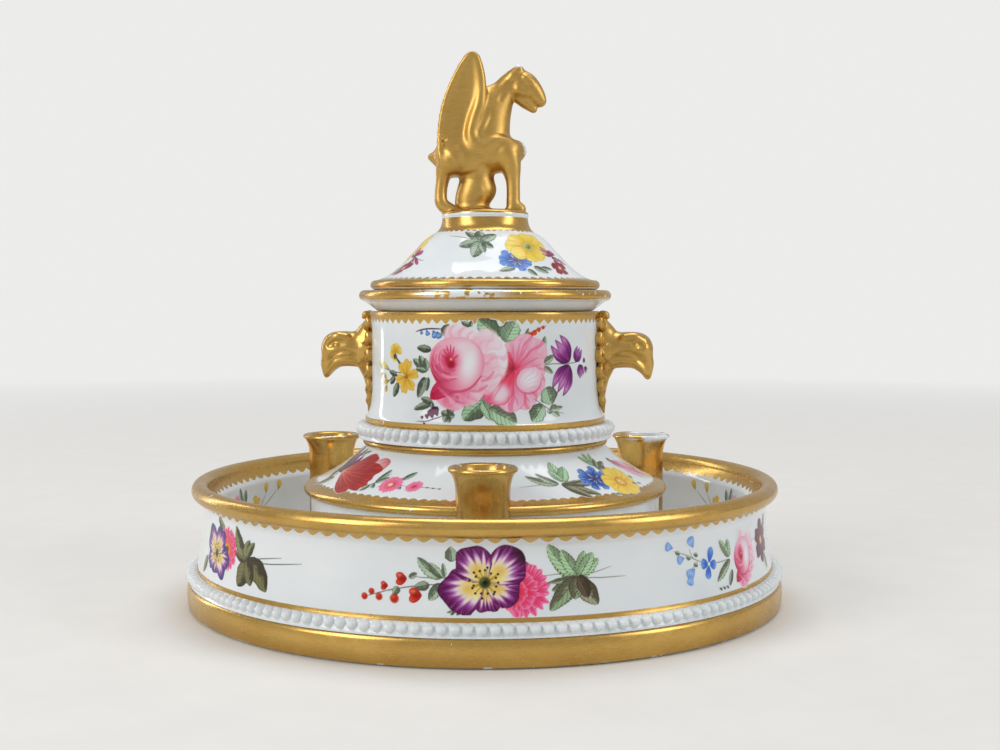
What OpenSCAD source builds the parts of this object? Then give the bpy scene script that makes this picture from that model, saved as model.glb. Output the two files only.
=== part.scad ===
// Porcelain desk inkstand: a round tray with a covered ink drum in its middle,
// three quill holders, eagle-head handles and a winged finial on the cover.
// Millimetres, +Z up. The origin is the centre of the foot on the table, and the front is towards -Y.

/* [Foot and tray] */
// Radius of the tray wall where it stands on the foot ring
tray_r = 73.1; // [68:0.1:80]
// How far the foot ring stands out past the tray wall
foot_ledge = 2.3; // [1.5:0.1:2.8]
// Height of the foot ring
foot_h = 6.4; // [5:0.1:9]
// Radial width of the foot ring
foot_w = 9; // [7:0.5:14]
// Thickness of the tray floor
floor_t = 3.2; // [2.5:0.1:4]
// Thickness of the tray wall
tray_t = 3.2; // [2.4:0.1:4]
// Height of the tray's lip above the foot ring
tray_h = 24.4; // [22:0.1:30]
// How far the wall draws in below the lip
waist_in = 1.9; // [0:0.1:4]
// Radius of the rolled lip's round
lip_round = 2.1; // [1.8:0.1:3]
// Radius of the vent hole in the tray floor
vent_r = 1.6; // [1:0.1:3]

/* [Beading] */
// Height of the lower bead strip
strip_h = 3.0; // [2.6:0.1:4]
// Height of the bead strip round the drum
drum_strip_h = 3.9; // [3.2:0.1:5]
// Thickness of a strip behind its beads
strip_t = 0.9; // [0.6:0.1:1.2]
// How far the lower strip's beads stand out
bead_r = 2.0; // [1.4:0.05:2.2]
// How far the beads on the drum's strip stand out
drum_bead_r = 2.2; // [1.6:0.05:2.6]
// Number of beads on the lower strip
beads = 168; // [120:1:180]
// Number of beads on the drum's strip
drum_beads = 74; // [50:1:84]

/* [Riser and shoulder] */
// Outer radius of the riser that carries the shoulder
riser_r = 44.6; // [42:0.1:46]
// Height of the riser above the tray floor
riser_h = 17.2; // [14:0.1:19]
// Wall of the riser and the shoulder
shoulder_t = 3.0; // [2.4:0.1:3.6]
// How far the shoulder's gilt edge stands out past the riser
edge_out = 1.8; // [1:0.1:3]
// Height of the shoulder's gilt edge
edge_h = 2.4; // [2:0.1:3.4]
// Height of the shoulder above its gilt edge
shoulder_h = 9.7; // [8:0.1:14]

/* [Drum] */
// Outer radius of the drum at its waist
drum_r = 29.0; // [28:0.1:30]
// Wall of the drum
drum_t = 2.4; // [2:0.1:2.8]
// Height of the drum
drum_h = 33.9; // [31:0.1:38]
// How far the drum flares out above the beading
drum_flare = 1.7; // [1.2:0.1:2.4]
// Thickness of the drum's floor
drum_floor_t = 3.4; // [2.4:0.1:4.5]
// Radius of the gilt fillet's round at the drum's foot
fillet_round = 0.95; // [0.7:0.05:1.1]
// Height of the gilt band above the beading
band_h = 1.3; // [1:0.1:2]

/* [Quill holders] */
// How far a holder's side is let into the riser
holder_sink = 1.5; // [0.8:0.1:2]
// Outer radius of a holder's neck
holder_r = 6.2; // [6:0.05:6.4]
// Outer radius of a holder's mouth
holder_mouth_r = 7.8; // [7.2:0.1:8.6]
// Height of a holder above the tray floor
holder_h = 29.2; // [26:0.1:32]
// Height of the flared mouth
holder_flare_h = 7; // [5:0.1:9]
// Radius of the bore that takes a quill
quill_r = 5.0; // [4.2:0.1:5.2]
// Thickness of a holder's bottom
holder_floor_t = 4; // [3:0.1:6]
// Depth of the bore's flared entry
entry_h = 1.6; // [1:0.1:2.2]

/* [Handles] */
// Direction of the right handle round the drum, in degrees
handle_turn = -6; // [-20:1:20]
// Thickness of the leaf mount on the drum
leaf_t = 1.5; // [1.2:0.1:2]
// Width of the leaf mount
leaf_w = 13; // [11:0.1:16]
// Length of the leaf mount, down from the drum's rim
leaf_h = 25.2; // [22:0.1:26]
// Radius of the pad that joins a handle to its leaf
pad_r = 4.6; // [4:0.1:5]
// How far a handle reaches out from its mount
handle_reach = 12.2; // [10:0.1:15]

/* [Ink pot] */
// Radial gap between the pot and the drum
pot_gap = 0.5; // [0.3:0.05:0.8]
// Gap under the pot's flange, and under the cover
seat_gap = 0.1; // [0.05:0.05:0.3]
// Wall of the pot
pot_t = 3.0; // [2.6:0.1:3.6]
// Depth of the pot below the drum's rim
pot_depth = 26.5; // [20:0.1:26.8]
// Thickness of the pot's bottom
pot_floor_t = 2.6; // [2:0.1:3.5]
// Radius of the pot's flange
flange_r = 32.2; // [31:0.1:34]
// Height of the flange's sloping underside
flange_slope_h = 2.5; // [2:0.1:3]
// Height of the flange's gilt edge
flange_edge_h = 2.7; // [2:0.1:3]
// Width of the ledge that carries the dip plate
ledge_w = 1.4; // [1:0.1:1.6]
// Thickness of the dip plate
plate_t = 2.2; // [1.8:0.1:3]
// Radius of the dip plate's funnel at the top
funnel_r = 9; // [7:0.1:11]
// Radius of the dip hole
dip_r = 5.5; // [4:0.1:6.5]
// Depth of the funnel below the plate
funnel_h = 7; // [5:0.1:10]
// Wall of the funnel
funnel_t = 1.8; // [1.4:0.1:2.2]

/* [Cover] */
// Radius of the cover's gilt rim
cover_r = 29.3; // [28.2:0.05:30.5]
// Height of the cover's gilt rim
cover_edge_h = 2.4; // [2:0.1:3]
// Height of the dome above the rim
dome_h = 12.9; // [10:0.1:15]
// Wall of the cover
cover_t = 2.6; // [2.2:0.1:3.2]
// Radius of the neck under the finial
neck_r = 10.9; // [10:0.1:12]
// Height of the neck
neck_h = 3.1; // [2:0.1:4]
// Depth of the ring that locates the cover in the pot
locator_h = 3; // [2:0.1:3.2]
// Radial gap between that ring and the pot
locator_gap = 0.4; // [0.2:0.05:0.6]

/* [Finial] */
// Radius of the plinth under the winged beast
plinth_r = 11.1; // [10:0.1:11.6]
// Height of the plinth
plinth_h = 1.5; // [1.2:0.1:2.4]
// Size of the winged beast, as a share of its drawn size
beast_size = 1; // [0.9:0.01:1.05]
// Distance of each wing from the beast's middle
wing_spread = 4.2; // [3.6:0.1:5]

/* [Hidden] */
$fn = 96;

// Heights above the table
floor_z = foot_h + floor_t;
tray_top = foot_h + tray_h;
lip_z = tray_top - lip_round;
riser_top = floor_z + riser_h;
holder_at = riser_r + holder_r - holder_sink;
shoulder_top = riser_top + edge_h + shoulder_h;
strip_z = shoulder_top + 2 * fillet_round;
band_z = strip_z + drum_strip_h;
drum_top = shoulder_top + drum_h;
pot_seat_z = drum_top + seat_gap;
flange_top = pot_seat_z + flange_slope_h + flange_edge_h;
ledge_z = drum_top - 1;
cover_z = flange_top + seat_gap;
cover_edge_top = cover_z + cover_edge_h;
dome_top = cover_edge_top + dome_h;
neck_top = dome_top + neck_h;
plinth_top = neck_top + plinth_h;

// Radii
waist_r = tray_r - waist_in;
lip_r = waist_r + 0.8;
edge_r = riser_r + edge_out;
shoulder_top_r = drum_r + drum_flare - 0.3;
drum_foot_r = drum_r + drum_flare;
drum_bore_r = drum_r - drum_t;
pot_r = drum_bore_r - pot_gap;
pot_bore_r = pot_r - pot_t;
mouth_r = pot_bore_r + ledge_w;
locator_r = mouth_r - locator_gap;

// Where the handles spring from, on the drum's side
mount_face_x = drum_foot_r + leaf_t;
handle_z = drum_top - 9.3;
holder_angles = [-90, 30, 150];
gold = "goldenrod";
glaze = "ivory";

// A curve from a to c that b pulls towards itself, in n steps.
function sweep_curve(a, b, c, n = 8) =
    [for (i = [0:n]) let (t = i / n) (1 - t) * (1 - t) * a + 2 * t * (1 - t) * b + t * t * c];
// Part of a circle about p, from angle a to angle b.
function arc(p, r, a, b, n = 8) =
    [for (i = [0:n]) let (t = a + (b - a) * i / n) p + r * [cos(t), sin(t)]];
// The same points in the opposite order.
function reversed(points) = [for (i = [len(points) - 1:-1:0]) points[i]];

// A chain of balls, each [x, y, z, r], skinned from one to the next.
module limb(balls, detail = 18) {
    for (i = [0:len(balls) - 2])
        hull() {
            for (b = [balls[i], balls[i + 1]])
                translate([b[0], b[1], b[2]]) sphere(r = b[3], $fn = detail);
        }
}

// ---- Foot and tray ----

module foot_ring() {
    outer = tray_r + foot_ledge;
    color(gold) rotate_extrude()
        polygon(concat(
            [[tray_r - foot_w, foot_h], [tray_r - foot_w, 1], [tray_r - foot_w + 1, 0], [outer - 0.5, 0]],
            sweep_curve([outer - 0.1, 0.5], [outer - 0.7, foot_h / 2], [outer, foot_h - 0.4]),
            [[outer - 0.4, foot_h]]));
}

module tray_wall_outline() {
    inner_r = waist_r - tray_t;
    polygon(concat(
        [[vent_r, foot_h], [tray_r, foot_h], [tray_r, foot_h + strip_h + 1]],
        sweep_curve([tray_r - 0.2, foot_h + strip_h + 1.1], [waist_r, foot_h + 0.6 * tray_h],
            [waist_r, lip_z - 2]),
        [[lip_r + 0.4, lip_z], [lip_r - 1.2, lip_z], [inner_r, lip_z - 2.5]],
        arc([inner_r - 3, floor_z + 3], 3, 0, -90, 6),
        [[vent_r, floor_z]]));
}

module tray() {
    color(glaze) rotate_extrude() {
        tray_wall_outline();
        translate([lip_r, lip_z]) circle(r = lip_round);
    }
}

// A moulded strip round a wall of radius r, with its row of beads: u goes along the strip in beads,
// and v goes up it from -1 to 1. The strip is one skin, because its beads run into one another.
function bead_face(r, bead, u, v) =
    let (along = 2 * (u - floor(u + 0.5)))
        r + strip_t + bead * sqrt(max(0, 1 - 0.8 * along * along - 0.8 * v * v));

module bead_strip(r, z, height, bead, count, steps) {
    columns = round(count) * steps;
    heights = [-1, -0.5, 0.5, 1];
    rows = len(heights);
    inner_r = r / cos(180 / columns);
    points = concat(
        [for (v = heights) for (i = [0:columns - 1])
            let (a = 360 * i / columns, face_r = bead_face(r, bead, i / steps, v))
                [face_r * cos(a), face_r * sin(a), z + height * (1 + v) / 2]],
        [for (v = [-1, 1]) for (i = [0:columns - 1])
            let (a = 360 * i / columns) [inner_r * cos(a), inner_r * sin(a), z + height * (1 + v) / 2]]);
    outer = [for (k = [0:rows - 2]) for (i = [0:columns - 1])
        let (j = (i + 1) % columns, p = k * columns, q = p + columns)
            each [[p + i, q + i, q + j], [p + i, q + j, p + j]]];
    top = (rows - 1) * columns;
    inner_low = rows * columns;
    inner_high = inner_low + columns;
    rest = [for (i = [0:columns - 1])
        let (j = (i + 1) % columns)
            each [[inner_low + i, inner_low + j, inner_high + j, inner_high + i],
                [top + i, inner_high + i, inner_high + j, top + j],
                [i, j, inner_low + j, inner_low + i]]];
    polyhedron(points = points, faces = concat(outer, rest), convexity = 10);
}

module tray_beading() {
    color("white") bead_strip(tray_r, foot_h, strip_h, bead_r, beads, 2);
}

// ---- Riser, shoulder and quill holders ----

// The room that the three holders take out of the riser and the shoulder.
module holder_seats() {
    for (a = holder_angles)
        rotate([0, 0, a]) translate([holder_at, 0, floor_z - 1]) cylinder(r = holder_r, h = holder_h);
}

module riser() {
    color(glaze) difference() {
        rotate_extrude() translate([riser_r - shoulder_t, floor_z]) square([shoulder_t, riser_h]);
        holder_seats();
    }
}

// The curve of the shoulder's top, from its gilt edge to the drum, moved in by d.
function shoulder_curve(d) =
    sweep_curve([edge_r - 1.2 - d, riser_top + edge_h - d * 0.7],
        [shoulder_top_r + 6.5 - d, riser_top + edge_h + 0.35 * shoulder_h - d],
        [shoulder_top_r - d * 0.6, shoulder_top - d], 10);

module shoulder() {
    under = shoulder_curve(shoulder_t);
    color(glaze) difference() {
        rotate_extrude()
            polygon(concat(
                [[riser_r - shoulder_t, riser_top], [edge_r - 0.6, riser_top]],
                sweep_curve([edge_r - 0.2, riser_top + 0.4], [edge_r + 0.2, riser_top + edge_h / 2],
                    [edge_r - 0.5, riser_top + edge_h - 0.5], 4),
                shoulder_curve(0),
                [[shoulder_top_r - shoulder_t * 2, shoulder_top],
                    [shoulder_top_r - shoulder_t * 2, shoulder_top - shoulder_t]],
                reversed(under)));
        holder_seats();
    }
}

module quill_holder(angle) {
    neck_z = floor_z + holder_h - holder_flare_h;
    mouth_z = floor_z + holder_h;
    lip = 0.7;
    color(gold) rotate([0, 0, angle]) translate([holder_at, 0, 0])
        rotate_extrude()
            polygon(concat(
                [[0, floor_z], [holder_r, floor_z]],
                sweep_curve([holder_r, neck_z], [holder_r, mouth_z - holder_flare_h / 3],
                    [holder_mouth_r, mouth_z - lip - 0.4]),
                arc([holder_mouth_r - lip, mouth_z - lip], lip, 0, 90, 4),
                [[quill_r + 1, mouth_z], [quill_r, mouth_z - entry_h], [quill_r, floor_z + holder_floor_t],
                 [0, floor_z + holder_floor_t]]));
}

// ---- Drum ----

// The drum's side from the beading to the rim.
function drum_side() = concat(
    [[drum_foot_r - 0.3, band_z], [drum_foot_r, band_z + 0.3], [drum_foot_r, band_z + band_h]],
    sweep_curve([drum_foot_r, band_z + band_h], [drum_r + 0.2, band_z + band_h + 1], [drum_r, band_z + 9], 6),
    [[drum_r, drum_top - 9]],
    sweep_curve([drum_r, drum_top - 7], [drum_r, drum_top - 3], [drum_r + 0.5, drum_top - 0.8], 4));

module drum_outline() {
    polygon(concat(
        [[0, shoulder_top], [drum_foot_r - 0.3, shoulder_top], [drum_foot_r - 0.3, strip_z]],
        drum_side(),
        [[drum_r + 0.1, drum_top], [0, drum_top]]));
    translate([drum_foot_r - 0.3, shoulder_top + fillet_round]) circle(r = fillet_round);
}

module drum() {
    color(glaze) difference() {
        rotate_extrude() drum_outline();
        translate([0, 0, strip_z + drum_floor_t - 1]) cylinder(r = drum_bore_r, h = drum_h);
    }
}

module drum_beading() {
    color("white") bead_strip(drum_foot_r - 0.3, strip_z, drum_strip_h, drum_bead_r, drum_beads, 4);
}

// ---- Handles ----

// A long acanthus leaf, point down, seen flat: x is across it, and y is up from the drum's rim.
module leaf_outline() {
    rows = 5;
    row_h = leaf_h / 6.6;
    for (i = [0:rows - 1])
        let (y = -(i + 1.1) * row_h, half = leaf_w / 2 * (1 - 0.16 * i)) {
            translate([0, y]) square([2 * half - row_h, 1.2 * row_h], center = true);
            for (s = [-1, 1]) translate([s * (half - row_h / 2), y]) circle(r = row_h / 2);
        }
    translate([0, -0.45 * row_h]) circle(r = 0.6 * row_h);
    polygon([[-0.65 * row_h, -(rows + 0.1) * row_h], [0.65 * row_h, -(rows + 0.1) * row_h], [0, -leaf_h]]);
}

// The leaf stands on the drum's wall and has a flat pad that the handle is luted to.
module leaf_mount(turn) {
    tip_z = drum_top - leaf_h;
    wall_in = drum_r - 4;
    color(gold) rotate([0, 0, turn])
        difference() {
            union() {
                intersection() {
                    translate([wall_in, 0, drum_top]) rotate([90, 0, 90])
                        linear_extrude(height = mount_face_x - wall_in) leaf_outline();
                    rotate_extrude()
                        polygon([[0, tip_z], [drum_foot_r + leaf_t - 0.6, tip_z],
                            [drum_r + leaf_t, tip_z + 0.4 * leaf_h],
                            [drum_r + leaf_t, drum_top], [0, drum_top]]);
                }
                translate([wall_in, 0, handle_z]) rotate([0, 90, 0])
                    cylinder(r = pad_r, h = mount_face_x - wall_in);
            }
            rotate_extrude() drum_outline();
        }
}

// An eagle's head and neck that reach out from the leaf mount and hook down.
module eagle_handle(turn) {
    x = mount_face_x;
    r = handle_reach / 12.2;
    color(gold) rotate([0, 0, turn]) intersection() {
        translate([x, -handle_reach, handle_z - handle_reach]) cube(2 * handle_reach);
        translate([x, 0, handle_z]) scale([r, 0.8 * r, r]) {
            limb([[-3, 0, -0.4, 4.6], [2.4, 0, -0.5, 4.6], [4.5, 0, -0.2, 4.3], [6.6, 0, 0.2, 3.9],
                [7.4, 0, -1.4, 3.2], [8.5, 0, -3.4, 2.5], [9.7, 0, -5.4, 1.7], [10.0, 0, -7.1, 0.9]]);
            limb([[1.2, 0, -4.6, 1.9], [-0.8, 0, -7.6, 1.6]]);
            for (s = [-1, 1])
                limb([[4.8, s * 2.9, 2.2, 1.5], [8.0, s * 2.3, 2.2, 1.3]]);
        }
    }
}

// ---- Ink pot ----

module ink_pot() {
    bottom = drum_top - pot_depth;
    edge_round = flange_edge_h / 2;
    edge_z = pot_seat_z + flange_slope_h;
    color(glaze) rotate_extrude() {
        polygon([
            [0, bottom], [pot_r - 1, bottom], [pot_r, bottom + 1], [pot_r, pot_seat_z],
            [drum_bore_r + 1, pot_seat_z], [flange_r - edge_round, edge_z],
            [flange_r - edge_round, flange_top], [mouth_r, flange_top],
            [mouth_r, ledge_z], [pot_bore_r, ledge_z],
            [pot_bore_r, bottom + pot_floor_t], [0, bottom + pot_floor_t]]);
        translate([flange_r - edge_round, edge_z + edge_round]) circle(r = edge_round);
    }
}

// The plate that closes the pot, dished into a funnel with the hole for the nib.
module dip_plate() {
    top = ledge_z + plate_t;
    color(glaze) rotate_extrude()
        polygon([
            [mouth_r, top], [mouth_r, ledge_z], [funnel_r + funnel_t, ledge_z],
            [dip_r + funnel_t, ledge_z - funnel_h], [dip_r, ledge_z - funnel_h],
            [dip_r, ledge_z - funnel_h + 2], [funnel_r, top]]);
}

// ---- Cover ----

// The dome's curve from its rim to its neck, moved in by d.
function dome_curve(d) = concat(
    sweep_curve([cover_r - 1.6 - d, cover_edge_top - d * 0.8],
        [cover_r - 6 - d, cover_edge_top + 1.3 - d * 0.8],
        [cover_r - 9.6 - d, cover_edge_top + dome_h * 0.45 - d * 0.8], 5),
    sweep_curve([neck_r + 6.6 - d, cover_edge_top + dome_h * 0.62 - d * 0.9],
        [neck_r + 4 - d, dome_top - 1.8 - d], [neck_r - d, dome_top - d], 5));

module cover_dome() {
    edge_round = cover_edge_h / 2;
    color(glaze) rotate_extrude() {
        polygon(concat(
            [[locator_r, cover_z], [cover_r - edge_round, cover_z], [cover_r - edge_round, cover_edge_top]],
            dome_curve(0),
            [[neck_r, neck_top], [0, neck_top], [0, dome_top - cover_t]],
            reversed(dome_curve(cover_t)),
            [[locator_r - cover_t, cover_z + 1], [locator_r - cover_t, cover_z - locator_h],
             [locator_r, cover_z - locator_h]]));
        translate([cover_r - edge_round, cover_z + edge_round]) circle(r = edge_round);
    }
}

module finial_plinth() {
    color(gold) translate([0, 0, neck_top]) cylinder(r = plinth_r, h = plinth_h);
}

// ---- The winged beast: it faces +X, and its coordinates start at the middle of the plinth's top ----

module placed() {
    translate([0, 0, plinth_top]) scale(beast_size) children();
}

module body_shape() {
    limb([[-8.0, 0, 13.4, 4.1], [-5.5, 0, 13.8, 4.6], [-0.5, 0, 14.2, 4.7], [4.4, 0, 14.4, 4.6],
        [8.2, 0, 15.6, 2.1]], 20);
    limb([[-8.6, 0, 13.0, 2.8], [-13.4, 0, 13.9, 0.8]]);
}

module neck_shape() {
    limb([[3.6, 0, 15, 4.9], [3.1, 0, 21.5, 3.5], [3.3, 0, 26.5, 3.0], [5.2, 0, 30.8, 3.1],
        [8.2, 0, 32.3, 2.9], [11.0, 0, 31.0, 2.6], [13.5, 0, 28.1, 2.0]], 20);
    limb([[9.6, 0, 29.2, 1.4], [12.1, 0, 25.8, 0.9]]);
    for (s = [-1, 1]) limb([[7.9, s * 1.5, 34.3, 1.0], [8.7, s * 1.9, 36.6, 0.6]]);
}

// A wing is a blade with its tip up and its feathered edge to the rear. It leans out towards the tip.
module wing_shape(side) {
    root = [[-2.2, 17.4, 1.8], [-10.6, 16.6, 1.0]];
    widest = [[-1.9, 24.5, 1.5], [-10.9, 22.6, 0.9]];
    shoulder_line = [[-1.2, 30.6, 1.4], [-9.4, 29.4, 0.9]];
    top = [[-1.6, 36.0, 1.2], [-6.6, 35.0, 0.8]];
    tip = [[-2.7, 39.4, 0.9], [-4.2, 38.4, 0.7]];
    rows = [root, widest, shoulder_line, top, tip];
    for (i = [0:len(rows) - 2])
        hull() for (k = [i, i + 1]) for (p = rows[k])
            translate([p[0], side * (wing_spread + 0.35 * k), p[1]]) sphere(r = p[2], $fn = 18);
    for (k = [0:3])
        let (a = rows[k][1], y = side * (wing_spread + 0.35 * k))
            limb([[a[0] + 3, y, a[1] + 0.4, 1.2], [a[0] - 0.1, y, a[1] + 1.4, 0.9]], 14);
}

module foreleg_shape(side) {
    y = side * 2.7;
    limb([[6.0, y, 14, 2.6], [7.4, y, 11.5, 2.1], [7.2, y, 8, 1.7],
        [7.2, y, 4, 1.6], [7.4, y, 1.2, 1.6], [8.8, y, 0.6, 1.3]]);
}

module hind_leg_shape(side) {
    y = side * 3.0;
    limb([[-8.2, y, 12.6, 3.3], [-10.6, y, 9.8, 1.8], [-11.3, y, 5.6, 1.4], [-11.0, y, 2.6, 1.4],
        [-9.4, y, 1, 1.5], [-7.2, y, 0.7, 1.2]]);
}

module support_shape() {
    limb([[-3, 0, -1, 4.4], [-2.8, 0, 1.5, 4.2], [-2.3, 0, 5.2, 4.4], [-2.6, 0, 8, 3.9],
        [-2.6, 0, 11, 3.4]], 20);
    limb([[0.4, 0, 5.4, 2.5], [-3, 0, 6.2, 2.4]], 20);
}

// Everything below the plinth's top, which the legs and the support stand on.
module below_plinth_top() {
    translate([0, 0, -plinth_r]) cylinder(r = 2 * plinth_r, h = plinth_r);
}

module beast_body() {
    color(gold) placed() body_shape();
}

module beast_neck_and_head() {
    color(gold) placed() difference() {
        neck_shape();
        body_shape();
    }
}

module beast_wing(side) {
    color(gold) placed() difference() {
        wing_shape(side);
        body_shape();
        neck_shape();
    }
}

module beast_foreleg(side) {
    color(gold) placed() difference() {
        foreleg_shape(side);
        body_shape();
        neck_shape();
        below_plinth_top();
    }
}

module beast_hind_leg(side) {
    color(gold) placed() difference() {
        hind_leg_shape(side);
        body_shape();
        wing_shape(side);
        below_plinth_top();
    }
}

module beast_support() {
    color(gold) placed() difference() {
        support_shape();
        body_shape();
        below_plinth_top();
    }
}

foot_ring();
tray();
tray_beading();
riser();
shoulder();
quill_holder(holder_angles[0]);  // quill_holder_front
quill_holder(holder_angles[1]);  // quill_holder_right
quill_holder(holder_angles[2]);  // quill_holder_left
drum();
drum_beading();
leaf_mount(handle_turn);  // right_leaf_mount
leaf_mount(handle_turn + 180);  // left_leaf_mount
eagle_handle(handle_turn);  // right_eagle_handle
eagle_handle(handle_turn + 180);  // left_eagle_handle
ink_pot();
dip_plate();
cover_dome();
finial_plinth();
beast_body();
beast_neck_and_head();
beast_wing(-1);  // beast_near_wing
beast_wing(1);  // beast_far_wing
beast_foreleg(-1);  // beast_near_foreleg
beast_foreleg(1);  // beast_far_foreleg
beast_hind_leg(-1);  // beast_near_hind_leg
beast_hind_leg(1);  // beast_far_hind_leg
beast_support();
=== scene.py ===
from math import atan2, cos, degrees, exp, log, pi, radians, sin

import bpy
import numpy as np
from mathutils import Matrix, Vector


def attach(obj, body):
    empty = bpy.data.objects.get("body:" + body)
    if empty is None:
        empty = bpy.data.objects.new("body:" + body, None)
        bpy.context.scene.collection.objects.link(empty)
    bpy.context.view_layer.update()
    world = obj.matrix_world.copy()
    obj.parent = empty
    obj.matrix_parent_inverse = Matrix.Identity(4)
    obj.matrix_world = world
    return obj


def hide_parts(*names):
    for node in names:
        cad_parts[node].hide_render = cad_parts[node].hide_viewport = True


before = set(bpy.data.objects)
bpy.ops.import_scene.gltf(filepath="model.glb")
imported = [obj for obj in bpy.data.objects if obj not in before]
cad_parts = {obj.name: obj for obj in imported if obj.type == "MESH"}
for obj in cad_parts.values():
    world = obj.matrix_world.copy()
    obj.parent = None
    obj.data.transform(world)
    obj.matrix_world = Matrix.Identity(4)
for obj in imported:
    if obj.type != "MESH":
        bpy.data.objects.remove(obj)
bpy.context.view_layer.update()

# ---- The foot ring ----
# A band of porcelain that the tray stands on, thrown with it and turned true. It is gilded all over outside,
# and its lower edge has worn back to white where it rubs the desk.

MM = 0.001
CORNER_BEND, LONGEST_BEND = 0.35, 0.48
ON_AXIS = 1e-6


def bow(a, b, c, steps=10):
    """A curve from a to c that b pulls towards itself. softened leaves its points as they are."""
    a, b, c = (np.array(p, float) for p in (a, b, c))
    shares = [k / steps for k in range(steps + 1)]
    return [tuple((1 - f) ** 2 * a + 2 * f * (1 - f) * b + f * f * c) + (0,) for f in shares]


def softened(points):
    """The corners of an outline of (radius, height), rounded off. A third number gives a corner's own bend."""
    out = []
    for i, p in enumerate(points):
        size = p[2] if len(p) > 2 else CORNER_BEND
        here = np.array(p[:2], float)
        before = np.array(points[i - 1][:2], float) - here
        after = np.array(points[(i + 1) % len(points)][:2], float) - here
        reach_in, reach_out = np.hypot(*before), np.hypot(*after)
        if size <= 0 or min(here[0], reach_in, reach_out) < ON_AXIS:
            out.append(tuple(here))
            continue
        start = here + before / reach_in * min(size, reach_in * LONGEST_BEND)
        end = here + after / reach_out * min(size, reach_out * LONGEST_BEND)
        out += [p[:2] for p in bow(start, here, end, 4)]
    return out


def ray(middle, turn, reach, tall=None):
    """The point so far from middle, turned so many degrees. tall is the reach upwards, where it isn't the same."""
    a = radians(turn)
    return middle[0] + reach * cos(a), middle[1] + (reach if tall is None else tall) * sin(a)


def rounded(middle, radius, start, end, steps=14):
    """Part of a circle about middle, from one angle to another in degrees."""
    return [ray(middle, start + (end - start) * k / steps, radius) + (0,) for k in range(steps + 1)]


def piece(name, points, faces, sharp=38):
    """A new object from points in millimetres."""
    mesh = bpy.data.meshes.new(name)
    mesh.from_pydata((np.asarray(points) * MM).tolist(), [], [list(f) for f in faces])
    mesh.validate()
    mesh.shade_smooth()
    mesh.set_sharp_from_angle(angle=radians(sharp))
    made = bpy.data.objects.new(name, mesh)
    bpy.context.scene.collection.objects.link(made)
    return made


def turned_faces(rows, sides, first=0):
    """The faces between rings of points: rows lists each ring's first point and whether it is a single point."""
    faces = []
    for (a, a_single), (b, b_single) in zip(rows, rows[1:]):
        for j in range(0 if a_single and b_single else sides):
            k = (j + 1) % sides
            corners = ([a] if a_single else [a + j, a + k]) + ([b] if b_single else [b + k, b + j])
            faces.append([first + corner for corner in corners])
    return faces


def turned(name, outline, at=(0, 0), sides=256):
    """A body turned on the wheel: its outline runs anticlockwise, with the radius to the right and the height up."""
    points, rows = [], []
    around = np.arange(sides) * 2 * pi / sides
    for r, z in outline:
        rows.append((len(points), r < ON_AXIS))
        if r < ON_AXIS:
            points.append((*at, z))
        else:
            points.extend(zip(at[0] + r * np.cos(around), at[1] + r * np.sin(around), np.full(sides, z)))
    if not (rows[0][1] and rows[-1][1]):
        rows.append(rows[0])
    return piece(name, points, turned_faces(rows, sides))


def tint(code):
    """A paint's colour, written as a painter would pick it, as shares of red, green and blue."""
    return np.array([int(code[i : i + 2], 16) / 255 for i in (1, 3, 5)])


def linear(shade):
    """The same colour in the renderer's own numbers."""
    return np.where(shade <= 0.04045, shade / 12.92, ((shade + 0.055) / 1.055) ** 2.4)


def ink(code):
    return linear(tint(code))


class Wire:
    """What comes out of a shader node. It can be used in sums."""

    def __init__(self, nodes, socket):
        self.nodes, self.socket = nodes, socket

    def __add__(self, other):
        return self.nodes.math("ADD", self, other)

    def __sub__(self, other):
        return self.nodes.math("SUBTRACT", self, other)

    def __rsub__(self, other):
        return self.nodes.math("SUBTRACT", other, self)

    def __mul__(self, other):
        return self.nodes.math("MULTIPLY", self, other)

    def __truediv__(self, other):
        return self.nodes.math("DIVIDE", self, other)

    __radd__, __rmul__ = __add__, __mul__

    def over(self, edge, soft):
        """0 below the edge and 1 above it."""
        return self.nodes.math("MULTIPLY_ADD", self - edge, 1 / soft, 0.5, clamp=True)

    def under(self, edge, soft):
        return 1 - self.over(edge, soft)


class Nodes:
    """A tree of shader nodes."""

    def __init__(self, tree):
        self.tree = tree

    def feed(self, socket, value):
        if isinstance(value, Wire):
            self.tree.links.new(value.socket, socket)
        else:
            socket.default_value = value

    def node(self, kind, settings=None, values=None, out=0):
        """Any node, with its settings and what feeds its sockets."""
        made = self.tree.nodes.new("ShaderNode" + kind)
        for name, value in (settings or {}).items():
            setattr(made, name, value)
        for name, value in (values or {}).items():
            self.feed(made.inputs[name], value)
        return Wire(self, made.outputs[out])

    def math(self, operation, *values, clamp=False):
        return self.node("Math", {"operation": operation, "use_clamp": clamp}, dict(enumerate(values)))

    def more(self, a, b):
        return self.math("MAXIMUM", a, b)

    def parts(self, vector):
        first = self.node("SeparateXYZ", None, {0: vector})
        return [Wire(self, s) for s in first.socket.node.outputs]


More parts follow.
